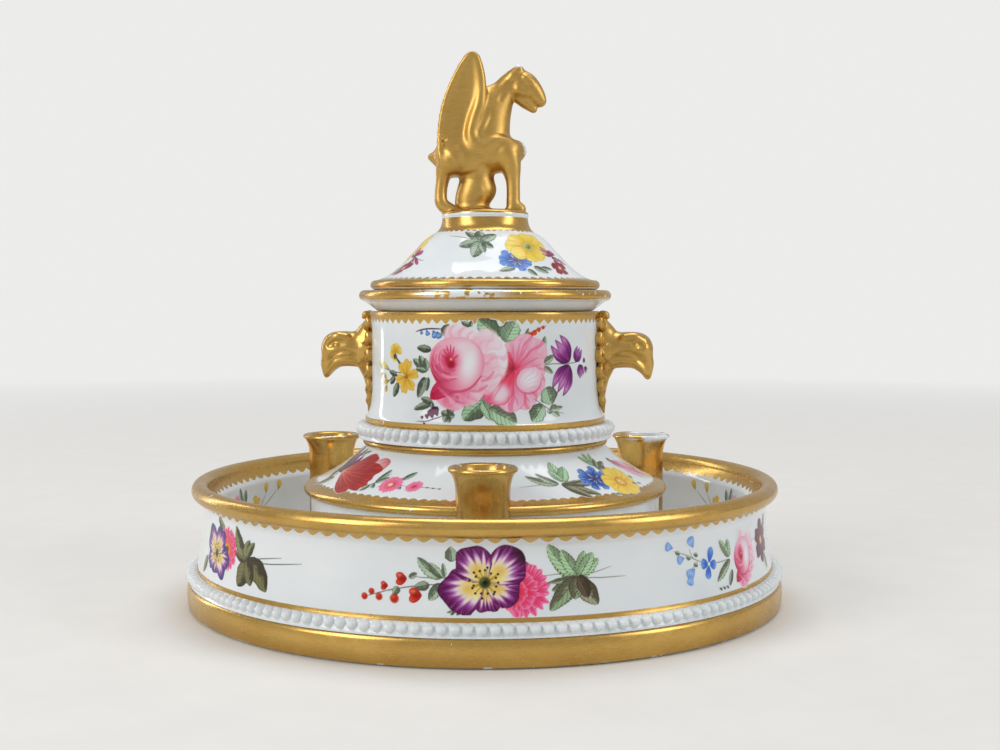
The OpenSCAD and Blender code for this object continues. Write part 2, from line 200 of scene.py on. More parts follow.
class Finish(Nodes):
    """A material, with the places on the piece that its nodes work from, in millimetres and radians."""

    def __init__(self, name):
        self.material = bpy.data.materials.new(name)
        self.material.use_nodes = True
        super().__init__(self.material.node_tree)
        self.shader = self.tree.nodes["Principled BSDF"]
        self.place = self.node("TexCoord", out="Object")
        self.x, self.y, self.z = self.parts(self.place)
        self.up = self.z * 1000
        self.out = self.math("SQRT", self.x * self.x + self.y * self.y) * 1000
        self.turn = self.math("ARCTAN2", self.y, self.x)

    def cloud(self, scale, detail=3, roughness=0.5, stretch=(1, 1, 1), shift=0.0):
        """Noise from 0 to 1, with about this many lumps to a metre."""
        where = self.place
        if stretch != (1, 1, 1) or shift:
            where = self.node("Mapping", None, {0: self.place, "Location": (shift,) * 3, "Scale": stretch})
        return self.node("TexNoise", None, {"Vector": where, "Scale": scale, "Detail": detail,
                                            "Roughness": roughness})

    def blend(self, share, a, b):
        """Colour a where share is 0, and colour b where it is 1."""
        values = {n: v if isinstance(v, Wire) else (*v, 1) for n, v in ((6, a), (7, b))}
        return self.node("Mix", {"data_type": "RGBA"}, {0: share, **values}, out=2)

    def give(self, **sockets):
        for name, value in sockets.items():
            self.feed(self.shader.inputs[name.replace("_", " ")], value)
        return self.material


GLAZE_WHITE = "#ecf0f2"
GLAZE, GLAZE_POOL = ink(GLAZE_WHITE), ink("#e0e7ea")
GOLD, GOLD_THIN, GOLD_RUBBED, GOLD_SPECKS = ink("#caa356"), ink("#b0843f"), ink("#e4ca8f"), ink("#8c5a22")


def glaze_colour(f):
    """The white of the glaze, a little bluer where it has pooled."""
    return f.blend(f.cloud(45, 2).over(0.5, 0.35), GLAZE, GLAZE_POOL)


def gilded(name, gilt=None, worn=None, strokes=(1, 1, 6), dull=0.2):
    """Glazed porcelain, gilded where gilt says so. worn says where the gold has rubbed through to the white."""
    f = Finish(name)
    patches = f.cloud(70, 3, 0.55)
    brushed = f.cloud(600, 3, 0.6, strokes)
    gold = f.blend(patches.over(0.55, 0.5) * 0.7, GOLD, GOLD_THIN)
    gold = f.blend(brushed.over(0.62, 0.5) * 0.3, gold, GOLD_RUBBED)
    gold = f.blend(f.cloud(2600, 2, 0.7).over(0.72, 0.05) * 0.4, gold, GOLD_SPECKS)
    pits = f.cloud(1100, 2, 0.7).over(0.75, 0.03) * f.cloud(130, 2, 0.5, shift=0.3).over(0.6, 0.05)
    lost = pits if worn is None else 1 - (1 - pits) * (1 - worn(f))
    share = 1 - lost if gilt is None else gilt(f) * (1 - lost)
    ripple = f.node("Bump", None, {"Strength": 0.35, "Distance": 0.00006,
                                   "Height": f.cloud(260, 2) + brushed * 0.07 * share})
    rough = f.cloud(200, 2, 0.6) * 0.2 + brushed * 0.05 + (dull - 0.06)
    return f.give(Base_Color=f.blend(share, glaze_colour(f), gold), Metallic=share,
                  Roughness=rough * share + (1 - share) * 0.07, Normal=ripple)


def set_up(part, nodes, body, material):
    """Puts a finished piece where the CAD nodes are and on its body."""
    part.data.materials.append(material)
    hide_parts(*nodes.split())
    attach(part, body)


tray_wall_r, foot_out, foot_top = 73.1, 2.3, 6.4
foot_ring = turned("foot_band", softened(
    [(64.1, foot_top, 0), (64.1, 0.9), (65.0, 0), (tray_wall_r + foot_out - 1.2, 0, 0.8)]
    + bow((75.0, 0.5), (75.75, 3.3), (75.1, 5.9), 14) + [(74.7, foot_top, 0.3), (73.2, foot_top, 0)]))
set_up(foot_ring, "foot_ring", "stand", gilded(
    "foot_gilding", gilt=lambda f: f.up.over(0.25, 0.2) * f.out.over(69, 0.3),
    worn=lambda f: f.up.under(0.6, 0.25) * f.cloud(260, 4, 0.65).over(0.6, 0.06)))

# ---- The tray ----
# A shallow round dish with a rolled lip, thrown in porcelain and glazed inside and out. The lip is gilded, with a
# row of small scallops under it outside and inside, and a gilt line runs round the wall's foot.

floor_top, lip_z, lip_r, lip_round = 9.6, 28.7, 72.0, 2.1
tray_side = [(r + 0.16 * exp(-(((z - 24.6) / 0.28) ** 2)) - 0.1 * exp(-(((z - 24.1) / 0.25) ** 2)), z, 0)
             for r, z, _ in bow((72.95, floor_top), (71.35, 17.5), (71.2, 26.3), 36)]
tray_outline = softened(
    [(0, foot_top + 0.2), (tray_wall_r, foot_top + 0.2, 0), (tray_wall_r, 9.2, 0)]
    + tray_side + [(71.2, 26.9, 0.3)]
    + rounded((lip_r, lip_z), lip_round, -78, 192, 26)
    + [(68.9, 26.4, 0.8), (68.0, 25.0, 0.6)] + rounded((65.0, floor_top + 3), 3, 0, -90, 10) + [(0, floor_top)])
tray = turned("tray_dish", tray_outline, sides=384)


def scallops(f, count, depth):
    """How far the edge of a row of scallops hangs down, in millimetres: round lobes that meet in points."""
    return f.math("ABSOLUTE", f.math("SINE", f.turn * (count / 2))) * depth


def tray_gilt(f):
    outside = f.out.over(71.05, 0.05)
    hang = scallops(f, count=121, depth=1.05) + f.cloud(700, 1) * 0.25
    lip_edge = f.up.over(26.75 - hang, 0.12)
    inner_edge = f.up.over(26.9 - hang * 0.9, 0.12)
    foot_line = f.up.under(10.3, 0.12) * outside
    lip = lip_edge * outside + inner_edge * (1 - outside) * f.out.over(60, 1)
    return f.more(foot_line, lip)


set_up(tray, "tray", "stand", gilded(
    "tray_glaze", gilt=tray_gilt, worn=lambda f: f.up.over(30.2, 0.5) * f.cloud(420, 4, 0.7).over(0.7, 0.03)))

# ---- The beading ----
# Two strips of white porcelain pearls, pressed in a long mould and luted on with slip: one between the foot ring and
# the tray's wall, and a finer one round the foot of the drum.

drum_foot_r = 30.4
EGG_TAPER, PEARL_SHARE, STRIP_IN_WALL = 0.17, 0.96, 0.3


def pearl_strip(name, count, wall_r, low, height, middle_r, reach):
    """A strip with its pearls, which are egg-shaped, with the narrow end down."""
    around, up = 14, 10
    ball, rows = [(0, 0, -1)], [(0, True)]
    for i in range(1, up):
        a = pi * i / up
        wide = sin(a) * (1 - EGG_TAPER * cos(a))
        rows.append((len(ball), False))
        ball += [(wide * cos(b), wide * sin(b), -cos(a)) for b in np.arange(around) * 2 * pi / around]
    rows.append((len(ball), True))
    ball = np.array(ball + [(0, 0, 1)])
    half = pi * middle_r / count * PEARL_SHARE
    points, faces = [], []
    for k in range(count):
        a = 2 * pi * k / count
        small = 0.97 + 0.02 * sin(k * 2.7) + 0.01 * sin(k * 1.3)
        radial, along = np.array([cos(a), sin(a)]), np.array([-sin(a), cos(a)])
        flat = (middle_r + ball[:, :1] * reach * small) * radial + ball[:, 1:2] * half * small * along
        faces += turned_faces(rows, around, len(points))
        points += np.hstack([flat, low + height * (0.56 + 0.46 * small * ball[:, 2:])]).tolist()
    back = turned(name + "_back", softened(
        [(wall_r - STRIP_IN_WALL, low, 0), (middle_r + reach * 0.6, low, 0.2)]
        + bow((middle_r + reach * 0.62, low + 0.2), (middle_r + reach * 0.36, low + height * 0.22),
              (middle_r + reach * 0.26, low + height * 0.55), 6)
        + [(middle_r, low + height * 0.93, 0.2), (wall_r - STRIP_IN_WALL, low + height, 0)]))
    return piece(name, points, faces, sharp=60), back


def white_ware(name):
    """Plain glazed porcelain, with fine brownish specks in the glaze."""
    f = Finish(name)
    ripple = f.node("Bump", None, {"Strength": 0.3, "Distance": 0.00005, "Height": f.cloud(320, 2)})
    specks = f.cloud(2200, 2, 0.6).over(0.79, 0.03) * 0.5
    colour = f.blend(specks, glaze_colour(f), ink("#b9ad98"))
    return f.give(Base_Color=colour, Roughness=f.cloud(200, 2) * 0.06 + 0.06, Normal=ripple)


pearl_glaze = white_ware("pearl_glaze")
STRIPS = (("tray_beading", "tray_pearls", 168, tray_wall_r, foot_top, 3.0, 73.7, 1.95),
          ("drum_beading", "drum_pearls", 74, drum_foot_r, 40.8, 3.9, 31.2, 2.1))
for node, *strip in STRIPS:
    for part in pearl_strip(*strip):
        set_up(part, node, "stand", pearl_glaze)

# ---- The riser and the shoulder ----
# A plain upright ring stands on the tray's floor, and carries a low domed shoulder with a thin gilt edge. The
# shoulder's top is painted, and its gilt border ends in a row of small scallops.

riser_top, shoulder_top = 26.8, 38.9
riser = turned("riser_ring", softened(
    [(41.6, floor_top - 0.1, 0), (44.9, floor_top - 0.1, 0)]
    + bow((44.9, floor_top + 0.1), (44.6, floor_top + 0.2), (44.6, floor_top + 0.8), 5)
    + [(44.6, riser_top, 0), (41.6, riser_top, 0)]))
set_up(riser, "riser", "stand", white_ware("riser_glaze"))

shoulder_side = bow((45.2, 29.2), (36.9, 32.6), (drum_foot_r, shoulder_top), 20)
shoulder = turned("shoulder_dome", softened(
    [(42.0, riser_top, 0), (45.7, riser_top, 0.3)] + bow((46.1, 27.2), (46.7, 28.0), (46.1, 28.7), 6)
    + [(45.7, 29.1, 0.4)] + shoulder_side + [(24.4, shoulder_top), (24.4, 36.0), (29.0, 35.5)]
    + bow((29.3, 35.2), (35.5, 29.5), (42.0, 27.2), 8)), sides=320)


def shoulder_gilt(f):
    border = f.out + scallops(f, count=108, depth=0.6) + f.cloud(700, 1) * 0.4
    return f.more(border.over(43.7, 0.14) * f.up.under(31.2, 0.3), f.up.under(28.6, 0.4))


set_up(shoulder, "shoulder", "stand", gilded(
    "shoulder_glaze", gilt=shoulder_gilt,
    worn=lambda f: f.out.over(45.6, 0.3) * f.cloud(380, 4, 0.7).over(0.68, 0.03)))

# ---- The quill holders ----
# Three small cups with flared mouths stand on the tray's floor against the riser, two at the back and one in front.
# Each is cast hollow for a quill, luted in place, and gilded inside and out, with the glaze showing on the worn lip.

HOLDERS = ((-90, "front"), (30, "right"), (150, "left"))
holder_from_middle, bore_r, bore_floor = 49.3, 5.0, floor_top + 4


def holder_wear(f):
    lip = f.up.over(38.35, 0.3) * f.cloud(500, 3, 0.65).over(0.63, 0.05)
    spots = f.cloud(330, 3, 0.6, shift=0.7).over(0.71, 0.03)
    patch = f.x.over(0.040, 0.004) * f.y.over(0.012, 0.004) * f.up.over(37.3, 0.8) * f.cloud(210, 2).over(0.42, 0.05)
    return f.more(f.more(lip, spots), patch)


holder_gilding = gilded("holder_gilding", worn=holder_wear, strokes=(3, 3, 0.5))
for turn, side in HOLDERS:
    outline = softened(
        [(0, floor_top), (6.6, floor_top, 0.2)]
        + bow((6.6, floor_top + 0.15), (6.15, floor_top + 0.4), (6.15, floor_top + 1.6), 5)
        + [(6.1, 31.8, 2)] + bow((6.1, 32.4), (6.1, 36.2), (7.45, 37.7), 9) + rounded((7.1, 38.1), 0.7, -30, 110, 9)
        + [(5.9, 38.6, 0.3), (5.2, 37.4, 0.5), (bore_r, 36.4, 0.3), (bore_r, bore_floor, 0.6), (0, bore_floor)])
    cup = turned("quill_cup_" + side, outline, ray((0, 0), turn, holder_from_middle), 96)
    set_up(cup, "quill_holder_" + side, "stand", holder_gilding)

# ---- The drum ----
# A straight-sided cup that holds the ink pot, spreading a little at its foot and its rim. The rim band is gilded with
# a row of points, and gilt lines mark the foot above and below the pearls.

drum_r = 29.0
drum_side = (bow((30.7, 46.0), (29.2, 47.0), (drum_r, 53.7), 14) + [(drum_r, 60.0, 0)]
             + bow((drum_r, 65.8), (drum_r, 69.8), (29.5, 72.0), 8))
drum = turned("drum_cup", softened(
    [(0, shoulder_top - 0.1), (drum_foot_r, shoulder_top - 0.1, 0)] + rounded((drum_foot_r, 39.85), 0.95, -80, 80, 10)
    + [(drum_foot_r, 41.0, 0), (drum_foot_r, 44.6, 0), (30.55, 44.75, 0.1), (30.7, 45.1, 0.2)] + drum_side
    + [(29.45, 72.8, 0.4), (26.6, 72.8, 0.5), (26.6, 43.2, 1.5), (0, 43.2)]), sides=320)


def drum_gilt(f):
    away = f.math("ABSOLUTE", f.math("FRACT", f.turn * (80 / (2 * pi))) - 0.5) * 2
    points = f.up + away * 1.15 + f.cloud(700, 1) * 0.35
    band = points.over(71.2, 0.16)
    foot = f.up.under(46.15, 0.14)
    inside = f.out.under(28.2, 0.2) * f.up.under(71.6, 0.2)
    return f.more(band, foot) * (1 - inside) * f.out.over(27.2, 0.3)


set_up(drum, "drum", "stand", gilded(
    "drum_glaze", gilt=drum_gilt,
    worn=lambda f: f.cloud(450, 3, 0.6).over(0.7, 0.03) * f.up.under(47, 0.5)))

# ---- The leaf mounts ----
# An acanthus leaf on each side of the drum, point down, hides the joint of the handle. Each is pressed from a mould
# with its lobes curled forward, luted to the wall and gilded.


def through(points, steps):
    """A smooth curve through points, with so many steps from each to the next."""
    ends = np.vstack([2 * points[0] - points[1], points, 2 * points[-1] - points[-2]])
    fine = []
    for a, b, c, d in zip(ends, ends[1:], ends[2:], ends[3:]):
        for t in np.arange(steps) / steps:
            fine.append(0.5 * (2 * b + (c - a) * t + (2 * a - 5 * b + 4 * c - d) * t * t
                               + (3 * b - a - 3 * c + d) * t ** 3))
    return np.vstack(fine + [points[-1]])


def evened(values, faces, share, times):
    """Values at a skin's points, drawn towards those of their neighbours."""
    for k in range(times):
        summed, near = np.zeros_like(values), np.zeros(len(values))
        for m in range(4):
            for n in (1, 3):
                np.add.at(summed, faces[:, m], values[faces[:, (m + n) % 4]])
                np.add.at(near, faces[:, m], 1)
        values = values * (1 - share) + (summed.T / near).T * share
    return values


class Clay:
    """A lump modelled by hand. Rolls and blades are joined on or pressed in, and its skin is taken as a mesh."""

    def __init__(self, low, high, grain):
        self.low, self.grain = np.array(low, float), grain
        self.lines = [np.arange(a, b + grain, grain) for a, b in zip(low, high)]
        self.field = np.full([len(line) for line in self.lines], 9.0)

    def around(self, low, high):
        cut = []
        for line, a, b in zip(self.lines, low, high):
            first = max(int(np.searchsorted(line, a)), 0)
            cut.append(slice(first, max(int(np.searchsorted(line, b)), first + 1)))
        return tuple(cut), np.ix_(*(line[c] for line, c in zip(self.lines, cut)))

    def work(self, cut, distance, soft, press):
        """Joins a shape to the lump with a soft seam, or presses it in."""
        old = self.field[cut]
        sign = -1 if press else 1
        near = np.clip(0.5 + 0.5 * (distance - sign * old) / soft, 0, 1)
        self.field[cut] = sign * (distance * (1 - near) + sign * old * near - soft * near * (1 - near))

    def roll(self, *balls, soft=0.5, flat=1.0, press=False, side=1):
        """A roll through balls of (x, y, z, radius). flat squeezes it from side to side, and side mirrors it."""
        balls = np.array(balls, float) * (1, side, 1, 1)
        if len(balls) > 2:
            balls = through(balls, 5)
        reach = balls[:, 3:].max() + 2 * soft + 0.6
        cut, (x, y, z) = self.around(balls[:, :3].min(0) - reach, balls[:, :3].max(0) + reach)
        best = np.full(np.broadcast_shapes(x.shape, y.shape, z.shape), 99.0)
        for a, b in zip(balls, balls[1:]):
            d = (b - a)[:3] * (1, 1 / flat, 1)
            px, py, pz = x - a[0], (y - a[1]) / flat, z - a[2]
            t = np.clip((px * d[0] + py * d[1] + pz * d[2]) / max((d * d).sum(), 1e-9), 0, 1)
            away = np.sqrt((px - t * d[0]) ** 2 + (py - t * d[1]) ** 2 + (pz - t * d[2]) ** 2)
            best = np.minimum(best, away - (a[3] + t * (b[3] - a[3])))
        self.work(cut, best, soft, press)

    def blade(self, outline, middle, thick, soft=0.5, edge=0.5):
        """A blade cut to an outline of (x, z). middle and thick are functions of x and z."""
        outline = np.array(outline, float)
        (x0, z0), (x1, z1) = outline.min(0) - 2, outline.max(0) + 2
        cut, (x, y, z) = self.around((x0, self.low[1], z0), (x1, 99, z1))
        flat_x, flat_z = np.broadcast_arrays(x, z)
        nearest, inside = np.full(flat_x.shape, 1e9), np.zeros(flat_x.shape, bool)
        for (ax, az), (bx, bz) in zip(outline, np.roll(outline, -1, 0)):
            wx, wz, ex, ez = flat_x - ax, flat_z - az, bx - ax, bz - az
            t = np.clip((wx * ex + wz * ez) / (ex * ex + ez * ez), 0, 1)
            nearest = np.minimum(nearest, (wx - t * ex) ** 2 + (wz - t * ez) ** 2)
            if az != bz:
                inside ^= ((az <= flat_z) != (bz <= flat_z)) & (wx < wz * ex / ez)
        rim = np.where(inside, -1, 1) * np.sqrt(nearest) + edge
        face = np.abs(y - middle(x, z)) - thick(x, z) + edge
        outer = np.sqrt(np.maximum(rim, 0) ** 2 + np.maximum(face, 0) ** 2)
        self.work(cut, outer + np.minimum(np.maximum(rim, face), 0) - edge, soft, False)

    def skin(self, name, origin=(0, 0, 0), turn=0.0):
        """The clay's skin as a piece, turned about the upright axis by so many degrees."""
        field = np.pad(self.field, 1, constant_values=self.grain)
        inside = field < 0
        cells = np.array(field.shape) - 1
        total, count = np.zeros((*cells, 3)), np.zeros(cells)
        crossings = []
        units = np.eye(3, dtype=int)
        for axis in range(3):
            step, (u, v) = units[axis], np.delete(units, axis, 0)
            at = np.argwhere(np.diff(inside, axis=axis))
            here, there = field[tuple(at.T)], field[tuple((at + step).T)]
            where = at + (here / (here - there))[:, None] * step
            crossings.append((u, v, at, (here < 0) != (axis == 1)))
            for i, j in ((0, 0), (0, -1), (-1, 0), (-1, -1)):
                cell = at + i * u + j * v
                good = ((cell >= 0) & (cell < cells)).all(1)
                np.add.at(total, tuple(cell[good].T), where[good])
                np.add.at(count, tuple(cell[good].T), 1)
        used = count > 0
        number = np.full(cells, -1)
        number[used] = np.arange(used.sum())
        points = total[used] / count[used][:, None]
        faces = []
        for u, v, at, outward in crossings:
            around = ((-1, -1), (0, -1), (0, 0), (-1, 0))
            quads = np.stack([number[tuple((at + i * u + j * v).T)] for i, j in around], 1)
            quads[~outward] = quads[~outward][:, ::-1]
            faces.append(quads)
        faces = np.vstack(faces)
        bend = sum(np.roll(field, 1, k) + np.roll(field, -1, k) - 2 * field for k in range(3)) / self.grain ** 2
        nearest = np.minimum(np.round(points).astype(int), np.array(field.shape) - 1)
        bend = evened(np.clip(bend[tuple(nearest.T)], -4, 4), faces, share=0.6, times=4)
        points = self.low + (evened(points, faces, share=0.5, times=2) - 1) * self.grain
        a = radians(turn)
        points = points @ np.array([[cos(a), sin(a), 0], [-sin(a), cos(a), 0], [0, 0, 1]])
        made = piece(name, points + np.array(origin), faces, sharp=60)
        layer = made.data.attributes.new("bend", "FLOAT", "POINT")
        layer.data.foreach_set("value", bend.astype(np.float32))
        return made


def modelled_wear(edge, more=None):
    """Gilding that has rubbed through on the sharpest edges."""

    def worn(f):
        bend = f.node("Attribute", {"attribute_name": "bend"}, out="Fac")
        lost = bend.over(edge, 0.5) * f.cloud(500, 4, 0.7).over(0.52, 0.08)
        return lost if more is None else f.more(lost, more(f))

    return worn


leaf_gilding = gilded("leaf_gilding", worn=modelled_wear(3.4), dull=0.26)


def acanthus():
    """One leaf, modelled where the drum's side faces +X. Its lobes curl away from the wall."""
    lump = Clay((27.7, -8.5, 46.0), (35.0, 8.5, 73.6), 0.2)
    wall = lambda z: 29.2 + max(0.0, 51.5 - z) * 0.2
    lump.roll((30.0, 0, 72.0, 1.0), (30.0, 0, 66, 1.7), (30.0, 0, 58, 1.6), (29.9, 0, 52, 1.0), (30.2, 0, 48.6, 0.65),
              (30.5, 0, 46.9, 0.3))
    lump.roll((29.4, 0, 63.0, 4.6), (30.6, 0, 63.2, 4.3), soft=0.8)
    for side in (-1, 1):
        for z, half, tall, size in ((69.4, 5.2, 1.9, 1.25), (65.6, 5.9, 2.1, 1.45), (61.3, 5.9, 2.1, 1.5),
                                    (57.2, 5.0, 1.9, 1.4), (53.6, 3.9, 1.7, 1.2), (50.4, 2.7, 1.4, 0.95)):
            w = wall(z)
            drop = half * half / 60
            lump.roll((w + 0.7, 0.7, z - tall, 0.75 * size), (w + 0.7, half * 0.55, z - tall * 0.35, 1.05 * size),
                      (w + 0.5 - drop, half - 0.9, z + 0.3, 0.95 * size),
                      (w + 0.9 - drop, half - 0.6, z + 1.3, 0.6 * size), soft=0.5, side=side)
            lump.roll((w + 2.2, half * 0.3, z - 0.9, 0.2), (w + 2.15 - drop * 0.3, half * 0.62, z - 0.2, 0.5),
                      (w + 1.9 - drop, half - 0.6, z + 0.5, 0.35), soft=0.5, press=True, side=side)
    for side in (-1, 0, 1):
        lump.roll((29.8, 1.5, 71.4, 0.95), (30.8, 1.9, 72.0, 0.85), (31.3, 1.9, 71.3, 0.6), soft=0.4, side=side)
    return lump


for turn, side in ((-6, "right"), (174, "left")):
    leaf = acanthus().skin(side + "_acanthus_leaf", turn=turn)
    set_up(leaf, side + "_leaf_mount", "stand", leaf_gilding)

# ---- The eagle handles ----
# An eagle's head springs from each leaf, cast solid, with a heavy brow and a hooked beak. The gilding has rubbed
# through on the sharpest edges.

head_gilding = gilded("eagle_gilding", worn=modelled_wear(3.2), dull=0.24)


def eagle():
    """One head, modelled where the drum's side faces +X, with the beak away from the drum."""
    lump = Clay((28.4, -7.0, 44.5), (46.0, 7.0, 73.4), 0.2)
    lump.roll((29.9, 0, 70.3, 1.2), (30.8, 0, 67.3, 2.3), (32.3, 0, 64.9, 3.1), (34.6, 0, 63.4, 4.1),
              (37.0, 0, 63.3, 4.25), (38.9, 0, 63.3, 3.9), flat=0.96, soft=0.8)
    lump.roll((29.8, 0, 66.5, 3.4), (30.3, 0, 62.5, 4.3), (30.5, 0, 59.4, 2.9), (30.2, 0, 56.0, 1.7),
              (30.0, 0, 52.0, 0.9), (30.1, 0, 49.0, 0.4), soft=1.2)
    lump.roll((38.8, 0, 63.5, 3.7), (39.9, 0, 61.7, 2.85), (40.9, 0, 59.5, 2.2), (41.2, 0, 57.6, 1.6),
              (41.5, 0, 56.4, 1.0), flat=0.84, soft=0.8)
    lump.roll((33.4, 0, 60.6, 2.3), (36.4, 0, 60.5, 2.1), (38.9, 0, 59.7, 1.9), (40.6, 0, 57.9, 1.4),
              (41.0, 0, 57.0, 1.1), flat=1.15, soft=0.5)
    for side in (-1, 1):
        lump.roll((32.8, 2.0, 59.7, 1.3), (35.4, 2.2, 60.3, 1.45), (37.9, 1.9, 59.9, 1.4), (39.7, 1.4, 58.5, 1.2),
                  (40.8, 0.8, 57.0, 0.9), soft=0.4, side=side)
        lump.roll((33.0, 4.5, 61.6, 0.3), (36.0, 4.3, 62.4, 0.5), (38.6, 3.7, 61.6, 0.5), (40.4, 2.9, 59.7, 0.45),
                  (41.4, 2.1, 57.6, 0.35), soft=0.5, press=True, side=side)
        lump.roll((35.8, 3.0, 66.0, 1.1), (38.2, 3.0, 66.2, 1.2), (40.1, 2.0, 65.3, 1.1), soft=1.0, side=side)
        lump.roll((36.4, 4.7, 64.5, 0.6), (38.4, 4.5, 64.5, 0.85), (40.1, 3.5, 63.9, 0.5), soft=0.8, press=True,
                  side=side)
        lump.roll((38.0, 3.3, 63.9, 0.8), (38.2, 3.3, 63.9, 0.8), soft=0.3, side=side)
        lump.roll((32.6, 4.4, 67.0, 0.25), (33.4, 4.6, 64.8, 0.35), (33.0, 4.6, 62.4, 0.25), soft=0.5, press=True,
                  side=side)
    lump.roll((35.6, 0, 55.0, 2.9), (38.0, 0, 55.6, 2.2), (39.8, 0, 54.2, 1.3), flat=1.6, soft=0.8, press=True)
    return lump


for turn, side in ((-6, "right"), (174, "left")):
    head = eagle().skin(side + "_eagle_head", turn=turn)
    set_up(head, side + "_eagle_handle", "stand", head_gilding)

# ---- The ink pot and its dip plate ----
# A plain pot that lifts out of the drum by its broad flange, which is white below and gilded on its edge. A plate
# with a funnel for the nib closes it, and is all white.


def pot_gilt(f):
    edge = f.up.over(75.75, 0.14) * f.out.over(29.0, 0.3)
    return f.more(edge, f.up.over(77.9, 0.2) * f.out.over(26.0, 0.2))


def pot_wear(f):
    top = f.up.over(76.2, 0.6)
    front = f.y.under(-0.027, 0.004) * f.x.under(0.004, 0.008) * f.x.over(-0.014, 0.008)
    return top * f.more(f.cloud(420, 3, 0.65).over(0.66, 0.04), front * f.cloud(330, 3).over(0.46, 0.05))


ink_pot = turned("ink_pot_cup", softened(
    [(0, 46.3), (26.1, 46.3, 1.2), (26.1, 72.9, 0.2), (27.6, 72.9, 0.4), (30.7, 75.3, 0.3)]
    + rounded((30.85, 76.75), 1.35, -70, 90, 16)
    + [(24.5, 78.1, 0.6), (24.5, 71.8, 0.3), (23.1, 71.8, 0.5), (23.1, 48.9, 3), (0, 48.9)]), sides=256)
set_up(ink_pot, "ink_pot", "pot", gilded("pot_glaze", gilt=pot_gilt, worn=pot_wear))

dip_plate = turned("dip_plate_funnel", softened(
    [(7.3, 64.8, 0.5), (10.8, 71.8, 1), (24.45, 71.8, 0.3), (24.45, 74.0, 0.4), (9.0, 74.0, 1.6), (5.5, 66.8, 0.8),
     (5.5, 64.8, 0.4)]), sides=128)
set_up(dip_plate, "dip_plate", "pot", white_ware("plate_glaze"))

# ---- The cover ----
# A thrown dome with a rounded gilt rim and a ring below that drops into the pot's mouth. A gilt neck rises to the
# plinth of the finial, and ends below in small scallops.

dome_side = (bow((27.7, 80.6), (23.3, 81.9), (19.7, 86.4), 12) + bow((17.5, 88.6), (15.6, 91.2), (12.7, 92.7), 10)
             + bow((12.35, 92.95), (11.2, 93.9), (10.95, 96.0), 8))
cover_dome = turned("cover_dome_shell", softened(
    [(21.5, 75.2, 0.4), (24.1, 75.2, 0.4), (24.1, 78.2, 0.2), (28.0, 78.2, 0)]
    + rounded((28.1, 79.4), 1.2, -85, 80, 16) + dome_side + [(10.9, 96.65, 0), (0, 96.65), (0, 91), (9, 90.6, 2)]
    + bow((12.5, 89.0), (17, 84.5), (21.5, 79.2), 8)), sides=320)


def cover_gilt(f):
    rim = (f.up - scallops(f, count=76, depth=0.5) - f.cloud(900, 1) * 0.2).under(80.55, 0.12)
    rim = rim * f.up.over(78.75, 0.12)
    neck = (f.up + scallops(f, count=48, depth=0.35) + f.cloud(300, 1) * 0.5).over(93.25, 0.12)
    neck = neck * f.up.under(96.35, 0.1)
    return f.more(rim * f.out.over(26.2, 0.2), neck)


set_up(cover_dome, "cover_dome", "cover", gilded(
    "cover_glaze", gilt=cover_gilt, worn=lambda f: f.cloud(420, 3, 0.65).over(0.69, 0.04) * f.up.under(80.6, 0.5)))

# ---- The winged beast ----
# The finial is a winged beast that faces +X, cast with its plinth and supported under the belly. Its long wings stand
# upright and run into the neck. It is gilded all over and has worn white on the ear, the chest and the wings' edges.

plinth_top = 98.1


def beast_wear(f):
    ear = f.up.over(134.3, 0.5) * f.x.over(0.006, 0.001)
    chest = f.x.over(0.0090, 0.0006) * f.up.over(112.6, 0.4) * f.up.under(115.4, 0.5)
    chest = chest * (f.y * f.y * 1e6).under(2.6, 2)
    climb = f.more((f.up - 115.1) / 21.4, 0)
    rear = f.x * 1000 - f.math("POWER", climb, 2.2) * 6.7
    rim = rear.under(-12.0, 0.25) * f.up.over(116, 2) * f.cloud(150, 3, 0.6).over(0.5, 0.06)
    return f.more(f.more(ear, chest), rim) * f.cloud(500, 3, 0.6).over(0.42, 0.1)


def wing_rear(z):
    """How far back a wing reaches at a height above the plinth."""
    return -12.2 + 6.7 * np.maximum(0, (z - 17) / 21.4) ** 2.2


def wing_middle(z):
    """How far from the beast's middle a wing stands, as it leans outwards."""
    return 2.7 + 0.045 * (z - 14)


def far_shift(z, side):
    """How much further back the far wing reaches."""
    return (side > 0) * max(0, z - 16) * 0.04


def wing_thick(x, z):
    """Half a wing's thickness: stout at its root and its rear edge, thin in between."""
    return (1.25 + 0.35 * np.exp(-(((x - wing_rear(z) - 0.9) / 1.0) ** 2)) + 1.3 * np.exp(-(((z - 13.0) / 5.0) ** 2))
            - 0.35 * np.exp(-(((x + 5.0) / 2.6) ** 2) - ((z - 27) / 9) ** 2))


def wing_outline(side):
    rear = [(-11.8, 13.0)] + [(wing_rear(z) + 0.16 * (k % 2), z) for k, z in enumerate(np.arange(15.5, 37.6, 1.05))]
    front = [(-5.4, 38.5), (-4.4, 39.4), (-3.2, 39.95), (-2.3, 39.7), (-1.5, 38.6), (-0.8, 36.3), (-0.35, 33.8),
             (-0.2, 30.8), (-0.9, 27.0), (-1.9, 24.0), (-2.8, 20.5), (-2.6, 16.5), (-1.2, 12.5), (-2.0, 9.9),
             (-5, 9.4), (-9.0, 10.0), (-11.2, 11.6)]
    return [(x - far_shift(z, side), z) for x, z in rear + front]


